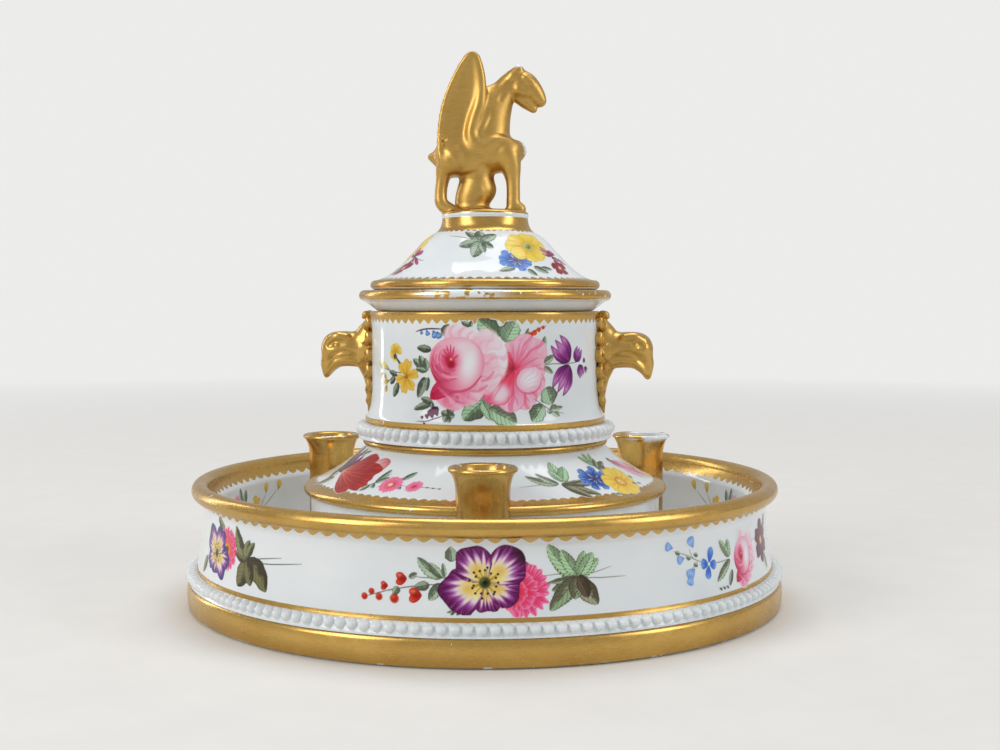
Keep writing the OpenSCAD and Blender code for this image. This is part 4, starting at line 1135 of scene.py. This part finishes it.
for root, tip, wide in (((-26.6, 12.9), (-30.4, 14.8), 1.6), ((-30.1, 12.8), (-32.8, 15.1), 1.3),
                        ((-29.9, 12.2), (-31.9, 11.1), 1.1)):
    p.petal(root, tip, wide, {0: "#8d8a3c", 0.6: "#e4d384", 1: "#efe6b0"}, 0.7)
p.stem((-15.0, 13.8), (-18.4, 12.5), (-23.0, 12.4), (-29.5, 13.2), colour="#3e3f2c")
p.stem((-22.0, 12.4), (-23.1, 14.7), (-24.4, 16.2), colour="#3e3f2c")
p.stem((-24.0, 12.4), (-26.0, 11.0), (-27.9, 9.6), colour="#3e3f2c")
for turn in (20, 75, 130, 200, 262):
    p.petal((-24.3, 17.2), ray((-24.3, 17.3), turn, 2.5, 2.3), 2.1, {0: "#b58c28", 0.6: "#e3c04e", 1: "#eedb8c"}, 0.7,
            rim="#d0ab45", ruffle=0.1)
p.leaf((-24.6, 15.6), (-24.0, 17.0), 1.2, "#57533a", "#2b2a20")
p.stem((-24.4, 16.4), (-22.6, 14.8), (-21.9, 14.0), wide=0.5, colour="#2f2f24")
p.daisy(-20.5, 11.6, 3.9, 6, "#e3bf52", "#a87e22", "#9c6c1c")
for s, t, turn, size in ((-28.0, 9.4, 250, 1.4), (-27.0, 10.4, 200, 1.3), (-28.2, 10.4, 120, 1.2)):
    p.petal((s, t), ray((s, t), turn, 2 * size, size * 1.6), size, {0: "#8c8a3a", 1: "#e0c668"}, 0.65)
p.twigs((((-23.6, 11.8), (-27.0, 12.6), 1.3), ((-24.4, 11.2), (-26.6, 9.6), 1.4)), "#54604a", "#26281f")
p.leaf((-23.2, 9.9), (-25.2, 6.4), 1.9, "#64745c", "#2d3027")
p.leaves((-14.2, 13.0), ((-18.2, 15.9, 1.9), (-16.3, 16.8, 1.9), (-14.6, 16.2, 1.6), (-17.4, 13.6, 1.2)), "#8fab86",
         "#3a3d31")
p.leaf((-14.6, 11.6), (-16.8, 6.6), 2.2, "#6f8067", "#33362c", side=-1)
p.leaf((-13.8, 11.6), (-14.4, 8.2), 1.2, "#6f8067", "#33362c")
p.leaves((-12.6, 5.6), ((-18.0, 3.8, 1.6), (-15.9, 6.6, 1.5), (-12.9, 3.9, 0.9)), "#7b826d", "#3b3c30")
p.stem((-17.2, 0.9), (-14.4, 1.0), (-11.6, 1.9), (-9.6, 2.6), colour="#43203f")
for s, t, size, turn in ((-15.4, 1.4, 0.9, 100), (-14.0, 1.5, 1.3, 100), (-12.6, 1.7, 2.3, 105),
                         (-11.2, 2.3, 2.5, 118), (-15.0, 0.8, 0.8, -70)):
    p.bell(s, t, size * 1.05, turn, "#7a0c56", "#3c002c")
p.leaves((-9.0, 2.7), ((-7.2, 4.6, 1.7), (-6.9, 2.6, 1.6), (-8.2, 0.8, 1.4), (-9.6, 0.9, 1.4), (-10.3, 3.6, 1.5)),
         "#7f8d6f", "#3b3d30")
p.leaf((0.2, 6.6), (-5.0, 1.6), 4.6, "#86b787", "#46473a", side=1, teeth=0.06)
p.leaf((-0.4, 6.2), (2.2, 1.4), 2.6, "#9ccf9a", "#5b5f4c", teeth=0.05, shadow=0.5)
p.leaf((1.2, 4.3), (7.9, 0.7), 4.4, "#a2cf9d", "#5b5648", side=1, teeth=0.06)
p.peony(7.0, 13.6, 7.2)
p.rose(-6.6, 14.9, 6.7)
p.stem((12.2, 6.5), (14.6, 5.0), (16.2, 4.0), (18.5, 3.2), (21.0, 2.6), colour="#6b6a55")
p.leaf((14.6, 5.0), (11.8, 0.9), 4.0, "#9ccb9a", "#555a49", side=-1, teeth=0.06)
p.leaf((15.6, 9.2), (17.2, 4.9), 4.3, "#a5cfa2", "#5d6352", side=1, teeth=0.06)
p.leaves((16.6, 3.7), ((18.8, 4.6, 1.5), (19.6, 2.0, 1.3), (20.6, 4.2, 1.2), (16.3, 2.7, 1.5)), "#a3c19a", "#5b5b48")
p.stem((15.0, 14.5), (18.0, 14.7), (22.0, 14.6), (27.0, 15.0), colour="#6b5f5a")
p.twigs((((15.0, 15.0), (17.9, 16.7), 1.5), ((15.0, 14.1), (17.5, 12.4), 1.2)), "#aebf9f", "#5d6551")
p.tulip((23.0, 15.1), (18.2, 20.4), 4.1, "#d79ad2", "#92358a")
p.tulip((23.0, 14.2), (19.0, 7.8), 4.3, "#d79ad2", "#92358a")
for root, tip, wide in (((25.2, 14.9), (26.9, 18.4), 2.5), ((26.6, 14.2), (28.2, 11.2), 2.2),
                        ((28.8, 14.6), (29.2, 15.8), 0.9), ((29.2, 13.6), (30.6, 12.3), 0.8)):
    p.tulip(root, tip, wide, "#bf86c4", "#8c3a8a")
for end, azimuth in (("front", -90), ("back", 90)):
    p.fix("drum_spray_" + end, drum_side, azimuth, "drum", mirrored=end == "back")

# The tray's front spray, with the pansy and the carnation, and the same mirrored at the back.
tray_paint_side = [(tray_wall_r, 9.4, 0)] + tray_side
p = Painting(-28, 33.5, 1.0, 17.2, 12)
p.stem((-6.5, 7.7), (-11.0, 7.6), (-16.0, 6.9), (-20.0, 6.0), wide=0.3, colour="#6b6a58")
p.stem((-6.5, 9.2), (-10.0, 9.0), (-14.5, 9.2), wide=0.26, colour="#6b6a58")
p.stem((-18.6, 6.5), (-21.5, 5.6), (-24.5, 4.7), wide=0.24, colour="#6b6a58")
p.leaf((-8.4, 8.9), (-13.4, 13.2), 2.2, "#a9bd9c", "#4f5a45", bend=0.06, side=-1)
p.leaf((-8.0, 9.0), (-11.0, 12.2), 1.6, "#9db18f", "#4a4b3a", side=1)
p.leaf((-7.6, 9.2), (-8.0, 12.2), 0.9, "#a9bd9c", "#4f5a45")
p.leaf((-8.3, 7.9), (-10.9, 4.4), 2.2, "#9db18f", "#4a5040", side=-1)
p.leaf((-10.8, 7.6), (-14.0, 7.0), 1.8, "#7f8a72", "#4b4a3c")
p.twigs((((-15.2, 8.9), (-13.4, 9.9), 1.1), ((-17.4, 7.0), (-18.6, 5.2), 1.5)), "#8b9a7d", "#51513f")
for s, t, size in ((-25.0, 4.6, 0.75), (-23.4, 5.7, 0.7), (-21.7, 4.7, 0.8), (-18.3, 4.5, 1.0)):
    p.dot(s, t, size, "#bb2a16", "#e26a4a")
for s, t, size in ((-20.6, 7.0, 1.0), (-16.9, 8.6, 1.5), (-13.9, 5.3, 1.7)):
    for side in (-1, 1):
        p.petal((s + size * 0.9, t + 0.1), (s - size * 0.75, t + side * size * 0.62), size * 1.05,
                {0: "#a81f12", 0.5: "#c9341c", 1: "#e2604a"}, 0.62, rim="#b8281a")
    p.wash(s + size * 0.15, t, size * 0.4, size * 0.35, "#8d1410", 0.7)
    p.wash(s - size * 0.2, t + size * 0.5, size * 0.3, size * 0.18, "#f09a82", 0.7)
p.leaf((-6.2, 12.4), (-6.4, 15.6), 2.3, "#9fae92", "#55594a", teeth=0.03)
p.leaf((-1.0, 4.0), (-7.2, 2.0), 1.1, "#8f9b84", "#44483a")
for s in (-6.4, -5.2, -4.0, -2.8):
    p.leaf((s + 0.7, 2.7), (s - 0.5, 3.7), 0.8, "#7f8d75", "#3e4134")
    p.leaf((s + 0.7, 2.5), (s, 1.5), 0.8, "#9aab8e", "#3e4134")
p.carnation(8.5, 6.6, 5.7)
p.pansy(0.7, 8.2, 8.3)
p.stem((13.0, 9.4), (16.5, 9.6), (20.4, 9.2), wide=0.24, colour="#7d7f6b")
p.stem((20.4, 9.0), (24.0, 9.6), (27.9, 10.6), wide=0.2, colour="#6e6d59")
p.stem((20.4, 8.7), (25.0, 8.4), (31.3, 8.3), wide=0.22, colour="#6e6d59")
p.leaves((20.2, 9.0), ((14.8, 12.2, 2.4, 0.04), (13.7, 15.8, 3.2, 0.06), (16.6, 14.6, 2.6, 0.02)), "#a4d193",
         "#586049", side=-1, shadow=0.55)
p.leaves((20.6, 8.8), ((24.9, 12.4, 2.3), (21.6, 14.2, 2.5), (23.6, 13.8, 2.6)), "#a9d79a", "#70805f", side=1,
         shadow=0.5)
p.leaves((20.4, 8.9), ((14.6, 6.2, 1.8), (13.6, 7.8, 1.1), (17.0, 3.4, 2.6), (14.2, 2.2, 3.4), (19.6, 4.2, 3.2)),
         "#93a981", "#5b4c3c", side=-1, shadow=0.8, mint=0.15)
p.leaf((20.0, 8.6), (24.8, 2.9), 3.6, "#a8a98a", "#4d4030", side=1, shadow=0.9, mint=0.1)
p.leaf((20.6, 9.2), (22.6, 4.4), 2.6, "#6b5f4c", "#453828", mint=0.0)
for end, azimuth in (("front", -90), ("back", 90)):
    p.fix("tray_spray_" + end, tray_paint_side, azimuth, "tray", mirrored=end == "back")

# The tray's left spray, and the same at the back on the right.
p = Painting(-11, 36, 1.0, 17.2, 13)
p.twigs((((5.0, 12.0), (1.0, 16.4), 2.4), ((-6.0, 6.0), (-9.0, 1.8), 2.4)), "#8a8f6a", "#4c4a33", mint=0.1)
p.carnation(6.6, 9.6, 5.0, (0.0, 0.0), 12, "#e8632f", "#e0447c")
p.dot(6.6, 9.6, 1.5, "#eaa531", "#f2c75c")
p.dot(6.6, 9.6, 0.8, "#8c3f1c")
p.pansy(0.6, 7.8, 6.6, "#3f3c8c", "#232155", mirrored=True)
p.leaves((15.6, 8.3), ((10.6, 15.4, 3.0, 0.08), (16.6, 13.0, 2.5, 0.1), (18.6, 12.6, 2.0, 0.06)), "#8d8f62",
         "#3f3524", side=-1, shadow=0.9, mint=0.1)
p.leaves((15.8, 8.4), ((13.4, 2.2, 4.8, 0.06), (24.4, 2.6, 4.6, 0.1), (18.6, 3.0, 3.4, 0.02), (10.8, 9.6, 1.4, 0.1)),
         "#7d7a4e", "#3b3122", side=1, shadow=0.95, mint=0.05)
p.stem((15.6, 8.4), (21.0, 9.4), (28.1, 10.4), wide=0.24)
p.stem((15.6, 8.2), (24.0, 8.6), (34.1, 9.8), wide=0.26)
for end, azimuth in (("left", -150), ("back_right", 30)):
    p.fix("tray_spray_" + end, tray_paint_side, azimuth, "tray")

# The tray's right spray, with a rose, and the same at the back on the left.
p = Painting(-28, 23, 0.6, 17.0, 14)
p.stem((-5.4, 8.2), (-9.0, 8.0), (-13.0, 8.1), wide=0.24, colour="#76785f")
p.stem((-14.0, 8.2), (-17.5, 9.4), (-21.0, 11.0), (-24.6, 12.2), wide=0.24, colour="#76785f")
p.stem((-17.4, 9.2), (-19.0, 8.0), (-20.0, 7.2), wide=0.2, colour="#76785f")
p.stem((-18.6, 9.8), (-19.4, 11.0), (-19.8, 12.2), wide=0.2, colour="#76785f")
for s, t, size, turn in ((-25.4, 12.9, 1.9, 165), (-19.4, 12.2, 2.3, 115), (-22.2, 10.4, 1.9, 190),
                         (-19.4, 7.8, 2.6, 215), (-20.6, 6.6, 2.0, 250)):
    p.bell(s + size * 0.4, t, size * 1.25, turn, "#a9c8f0", "#6d9add")
for s, t in ((-23.6, 11.6), (-20.4, 10.2), (-18.0, 10.6), (-18.2, 8.4)):
    p.leaf((s + 0.8, t - 0.2), (s - 0.6, t + 0.4), 0.9, "#a5b592", "#5c6448")
for tip, wide in (((-16.4, 8.5), 2.4), ((-12.4, 11.8), 2.1), ((-11.0, 7.6), 2.2), ((-14.4, 4.8), 2.1)):
    p.petal((-13.7, 8.1), tip, wide, {0: "#5a86d6", 0.4: "#3d6fd0", 1: "#8db4ec"}, 0.66, rim="#4a78cf")
p.dot(-13.6, 8.1, 0.45, "#f1efd8")
p.leaves((-5.6, 8.6), ((-9.4, 12.9, 1.8), (-6.0, 12.8, 1.9), (-7.6, 11.4, 1.3)), "#aacb98", "#56593f", side=1,
         shadow=0.55)
p.leaf((-5.2, 8.0), (-11.2, 3.8), 1.9, "#a3b18a", "#544f3c", side=-1)
p.leaf((-4.6, 5.6), (-6.6, 2.2), 1.5, "#8c9a80", "#454437")
for s in (-10.6, -9.2, -7.8):
    p.leaf((s + 0.9, 1.9), (s - 0.3, 2.4), 0.6, "#8c9a80", "#454437")
for turn in (35, 95, 155, 215, 275, 335):
    p.fan((14.6, 9.4), turn, 36, 5.2, {0: "#e3b34a", 0.25: "#7d1c44", 0.8: "#5a0f3a", 1: "#8a2a5c"}, 0.1, 12,
          rim="#430a2a")
p.dot(14.6, 9.4, 1.0, "#e2c26a", "#f3e2a4")
p.twigs((((16.4, 6.0), (18.6, 2.0), 1.8), ((17.6, 11.6), (20.6, 15.0), 1.9)), "#9aab84", "#4b4c39")
p.rose(1.0, 7.9, 4.3)
for end, azimuth in (("right", -35), ("back_left", 148)):
    p.fix("tray_spray_" + end, tray_paint_side, azimuth, "tray")

# The shoulder's left spray, with the red flower, and the same at the back.
p = Painting(-30, 19, 0.3, 17.9, 15)
p.stem((-28.0, 1.0), (-25.5, 4.0), (-22.6, 7.4), wide=0.7, colour="#6b6a3c")
p.leaf((-26.4, 2.2), (-21.6, 6.0), 2.2, "#8b9358", "#4b4e2c", mint=0.1)
p.leaf((-25.6, 5.0), (-23.6, 12.8), 2.2, "#949f72", "#4f5133", mint=0.15)
p.leaves((-19.2, 14.8), ((-15.8, 16.0, 1.2), (-13.9, 16.8, 1.0), (-17.4, 17.2, 1.1)), "#9db39a", "#47523f")
p.tulip((-24.2, 8.0), (-18.4, 16.6), 5.4, "#82205c", "#4a0430")
p.petal((-10.5, 10.4), (-3.0, 14.6), 4.6, {0: "#b5473c", 0.5: "#e7bfc0", 0.8: "#d98f92", 1: "#c4696d"}, 0.62,
        rim="#b3525a")
stops = {0: "#e6b8a8", 0.2: "#cf5238", 0.4: "#b41506", 0.8: "#a00b00", 1: "#bd2c16"}
for turn, spread, reach in ((-28, 17, 13.5), (-10, 17, 17.0), (8, 17, 17.5), (26, 17, 14.5)):
    mask = p.fan((-21.2, 8.6), turn, spread, reach, stops, 0.16, 16, 0.05, rim="#7c0c04", square=0.3)[0]
    for k in (-0.6, -0.2, 0.25, 0.6):
        p.stroke([ray((-21.2, 8.6), turn + spread * k, out) for out in (3, reach * 0.7)], 0.22, "#e2a48f", 0.5, mask)
p.stem((-4.6, 5.2), (-2.2, 7.4), (0.2, 10.8), wide=0.26)
p.twigs((((-2.4, 7.2), (-0.6, 12.2), 1.6), ((-2.6, 7.0), (0.6, 9.6), 1.3), ((-3.4, 6.2), (-4.8, 3.4), 1.6),
         ((-3.0, 6.8), (-1.4, 5.0), 1.2), ((4.6, 9.0), (7.0, 12.0), 1.5), ((4.4, 7.2), (6.4, 5.6), 1.0)), "#8fa58b",
        "#3f4a3b")
p.stem((3.0, 7.2), (7.0, 7.0), (12.0, 6.9), (16.2, 6.6), wide=0.2)
p.carnation(2.6, 7.0, 3.1, (0.1, 0.0), 11, "#d0355c", "#ea7fa4")
p.dot(2.6, 7.0, 0.75, "#ead08a", "#f6eac0")
p.carnation(9.2, 7.0, 2.1, (0.0, 0.0), 9, "#cf4a70", "#e98fb0")
for s, t in ((12.6, 6.9), (14.2, 6.7), (15.8, 6.6)):
    p.dot(s, t, 0.32, "#8a4c66")
for end, azimuth in (("left", -128), ("back", 84)):
    p.fix("shoulder_spray_" + end, shoulder_side, azimuth, "shoulder")

# The shoulder's right spray, with the yellow flower.
p = Painting(-19, 36, 0.2, 17.6, 16)
p.stem((-7.8, 7.6), (-12.0, 7.8), (-17.4, 7.2), wide=0.24, colour="#7b7c66")
p.leaves((-7.2, 7.8), ((-14.0, 11.0, 2.4, 0.1), (-11.0, 11.8, 1.8, 0.08)), "#9aa98b", "#5b5648", side=-1)
p.leaves((-5.6, 8.4), ((-5.4, 15.4, 2.8), (-2.4, 13.6, 2.6), (-7.2, 12.6, 1.8)), "#a8dba0", "#66745a", side=1,
         shadow=0.45)
p.leaves((-6.4, 7.8), ((1.4, 2.4, 2.6), (-1.8, 1.6, 2.6), (1.6, 6.4, 1.6), (1.0, 8.4, 1.0)), "#9c9b84", "#57503f",
         side=-1, shadow=0.85, mint=0.15)
p.leaves((8.4, 12.4), ((4.0, 16.2, 1.5), (6.2, 17.0, 1.6), (8.6, 16.8, 1.3)), "#a3cf9b", "#67755a", shadow=0.4)
p.leaves((8.0, 11.6), ((12.4, 13.4, 2.0), (11.8, 11.0, 2.2), (9.4, 14.8, 1.6)), "#7c8468", "#4f4b38")
p.cornflower(4.2, 8.4, 5.6)
p.leaf((15.4, 14.2), (20.6, 9.6), 1.4, "#8b8f83", "#55554d")
for tip, wide in (((33.4, 4.2), 2.0), ((31.0, 7.8), 1.8), ((27.0, 4.6), 1.5)):
    p.petal((16.4, 13.4), tip, wide, {0: "#c24a72", 0.4: "#f0c5d3", 0.7: "#e9a0b8", 1: "#f6e1e8"}, 0.6, streak=0.2,
            rim="#b76080")
p.stroke([(16.6, 13.2), (22.0, 10.0), (30.0, 5.8)], 0.4, "#b03a66", 0.7)
for k in range(12):
    p.petal((12.4, 5.9), ray((12.4, 5.9), 360 * k / 12 + 6 * sin(k * 2.9), 6.6, 5.6), 3.4,
            {0: "#d79a2c", 0.45: "#efcb45", 0.85: "#f3d65c", 1: "#e6bd3f"}, 0.72, streak=0.1, rim="#cf9f2e",
            square=0.5)
for turn in range(5, 365, 30):
    p.stroke([ray((12.4, 5.9), turn, 1.9, 1.7), ray((12.4, 5.9), turn, 5.2, 4.4)], 0.16, "#c98e22", 0.55)
p.stroke([(12.4 + 1.9 * cos(a / 10), 5.9 + 1.6 * sin(a / 10)) for a in range(0, 64, 7)], 0.3, "#b76a1c", 0.8)
p.dot(12.4, 5.9, 0.85, "#f0d98a", "#fbf2c9")
p.dot(12.4, 5.9, 0.3, "#b5651d")
for s, t in ((17.4, 4.0), (19.2, 6.4), (19.8, 3.6), (6.6, 1.4)):
    p.leaf((s - 0.8, t + 0.5), (s + 0.8, t - 0.3), 0.9, "#9bb08a", "#4e5340")
p.fix("shoulder_spray_right", shoulder_side, -52, "shoulder")

# The small spray that is painted five times inside the tray.
p = Painting(-24, 20, 0.4, 13.4, 17)
for s, t, turn in ((-16.0, 10.6, 115), (-10.5, 10.4, 92), (-12.4, 4.4, 200), (-5.0, 3.0, 250)):
    p.petal((s, t - 1.2), ray((s, t), turn, 2.4, 2.0), 2.2, {0: "#8d8b3c", 0.5: "#e0c24e", 1: "#ecd98c"}, 0.7)
p.stem((-15.4, 9.6), (-11.0, 6.6), (-7.0, 5.0), colour="#7c7d57")
p.stem((-10.4, 9.4), (-8.6, 6.8), (-7.0, 5.4), colour="#7c7d57")
p.stem((-12.0, 4.0), (-9.0, 4.6), (-7.0, 5.2), colour="#7c7d57")
p.daisy(-5.4, 6.0, 3.2, 6, "#e8c64e", "#b48620", "#a86a1e")
p.twigs((((-2.4, 5.6), (0.6, 2.0), 1.8), ((1.4, 6.6), (0.2, 11.8), 2.2), ((2.6, 8.4), (4.0, 12.6), 1.6)), "#8fa883",
        "#4a5040")
p.carnation(6.4, 6.6, 4.2, (0.1, 0.0), 12, "#d24a6a", "#ee8fae")
p.leaf((10.6, 7.0), (14.4, 9.6), 1.6, "#8fa883", "#4a5040")
p.stem((10.4, 6.4), (14.0, 6.0), (18.0, 6.8))
tray_inner_side = [(68.0, 12.3), (68.0, 25.2)]
for k, azimuth in enumerate((16, 98, 164, -40, -140), 1):
    p.fix("tray_inside_spray_%d" % k, tray_inner_side, azimuth, "tray", mirrored=k in (3, 5), inward=True)

# The cover's spray, painted three times round.
p = Painting(-33, 17.5, 0.3, 19.6, 18)
for tip, wide in (((-28.6, 12.6), 1.5), ((-26.4, 13.4), 1.6), ((-24.4, 12.0), 1.5), ((-31.0, 10.6), 1.3),
                  ((-26.2, 7.2), 1.5), ((-29.4, 8.2), 1.2)):
    p.petal((-28.2, 10.2), tip, wide, {0: "#7d1f4c", 0.6: "#b03a6c", 1: "#d07a9c"}, 0.66, rim="#6e1a44")
p.stem((-28.2, 10.2), (-26.0, 9.0), (-24.0, 8.6), colour="#5c5c4a")
p.stem((-6.8, 14.6), (-10.0, 16.2), (-14.3, 17.2), wide=0.3, colour="#6d7263")
p.leaves((-6.6, 14.8), ((-9.4, 19.0, 2.4), (-5.8, 19.4, 2.5), (-2.2, 17.6, 2.4), (-12.4, 13.2, 2.6), (-9.8, 9.4, 2.8),
                        (-4.0, 12.6, 1.9), (-6.6, 11.0, 1.6)), "#90a68f", "#454d40", side=1, shadow=0.75)
p.cornflower(0.6, 8.4, 5.0, "#6f9fe2", "#2d5fb5")
p.twigs((((-0.6, 5.8), (-4.6, 4.4), 1.6), ((5.0, 6.4), (8.4, 3.6), 1.9), ((3.0, 5.4), (4.4, 2.2), 1.6),
         ((7.0, 6.0), (10.4, 5.2), 1.4)), "#8fa389", "#434a3b")
for k in range(8):
    p.petal((5.4, 13.2), ray((5.4, 13.2), 45 * k + 7 * sin(k * 2.3), 6.4, 5.2), 4.6,
            {0: "#cf9d2f", 0.4: "#ecc94a", 0.85: "#f2dc6c", 1: "#e7c75a"}, 0.7, streak=0.1, rim="#d0a636",
            square=0.45)
p.dot(5.4, 13.2, 1.6, "#b9c58a", "#dfe3b4")
p.dot(5.4, 13.2, 0.8, "#8c7a2a", "#e9d36c")
for turn in (20, 90, 160, 230, 300):
    p.fan((14.0, 6.0), turn, 42, 3.2, {0: "#e7c7a0", 0.3: "#9c1c3c", 0.8: "#7d0f30", 1: "#b5486a"}, 0.1, 12)
p.dot(14.0, 6.0, 0.6, "#e8cf86")
for k, azimuth in enumerate((-70, 50, 170), 1):
    p.fix("cover_spray_%d" % k, dome_side, azimuth, "cover_dome", "cover")

# ---- The studio ----
# A plain pale floor that fades into an even pale backdrop away from the inkstand, with soft window light from both
# sides and above.

floor = piece("studio_floor", [(-2000, -2000, 0), (2000, -2000, 0), (2000, 2000, 0), (-2000, 2000, 0)],
              [(0, 1, 2, 3)])
floor_finish = Finish("studio_floor_paint")
grain = floor_finish.cloud(60, 4, 0.6)
floor.data.materials.append(floor_finish.give(
    Base_Color=floor_finish.blend(grain, ink("#dedcd8"), ink("#e6e4e0")), Roughness=grain * 0.1 + 0.75))
BACKDROP = (0.84, 0.84, 0.83, 1)
light_path = floor_finish.node("LightPath")
haze = floor_finish.node("Emission", None, {"Color": BACKDROP})
away = floor_finish.out.over(620, 760) * light_path
mixed = floor_finish.node("MixShader", None, {0: away, 1: Wire(floor_finish, floor_finish.shader.outputs[0]),
                                              2: haze})
floor_finish.feed(floor_finish.tree.nodes["Material Output"].inputs[0], mixed)

scene = bpy.context.scene
CAMERA_PLACE, CAMERA_DOWN = (0.0038, -0.347, 0.0755), 3.16
camera = bpy.data.objects.new("view_camera", bpy.data.cameras.new("view_camera"))
scene.collection.objects.link(camera)
camera.location = CAMERA_PLACE
camera.rotation_euler = (radians(90 - CAMERA_DOWN), 0, 0)
camera.data.lens, camera.data.sensor_width, camera.data.clip_start = 48.6, 36, 0.01
scene.camera = camera


def window(name, place, size, power, colour):
    lamp = bpy.data.lights.new(name, "AREA")
    lamp.shape, (lamp.size, lamp.size_y), lamp.energy, lamp.color = "RECTANGLE", size, power, colour
    made = bpy.data.objects.new(name, lamp)
    made.location = place
    made.rotation_euler = (Vector((0, 0, 0.05)) - Vector(place)).to_track_quat("-Z", "Y").to_euler()
    scene.collection.objects.link(made)


window("window_left", (-0.75, -0.55, 0.55), (0.45, 0.7), 4.2, (1.0, 0.99, 0.97))
window("window_right", (0.85, -0.35, 0.45), (0.35, 0.6), 2.4, (0.96, 0.98, 1.0))
window("window_tall", (-0.9, 0.62, 0.3), (0.1, 0.9), 1.6, (1.0, 1.0, 1.0))
window("skylight", (0.1, 0.2, 1.1), (0.9, 0.6), 5.5, (1.0, 1.0, 1.0))
world = bpy.data.worlds.new("studio_air")
world.use_nodes = True
scene.world = world
air = Nodes(world.node_tree)
shown = air.node("Background", None, {"Color": BACKDROP, "Strength": 1.0})
lit = air.node("Background", None, {"Color": (0.92, 0.93, 0.95, 1), "Strength": 0.42})
seen_ray = air.node("LightPath")
mirrored_ray = Wire(air, seen_ray.socket.node.outputs["Is Glossy Ray"])
share = air.math("MULTIPLY_ADD", mirrored_ray, 0.35, seen_ray)
air.feed(air.tree.nodes["World Output"].inputs[0], air.node("MixShader", None, {0: share, 1: lit, 2: shown}))
scene.view_settings.view_transform = "Standard"
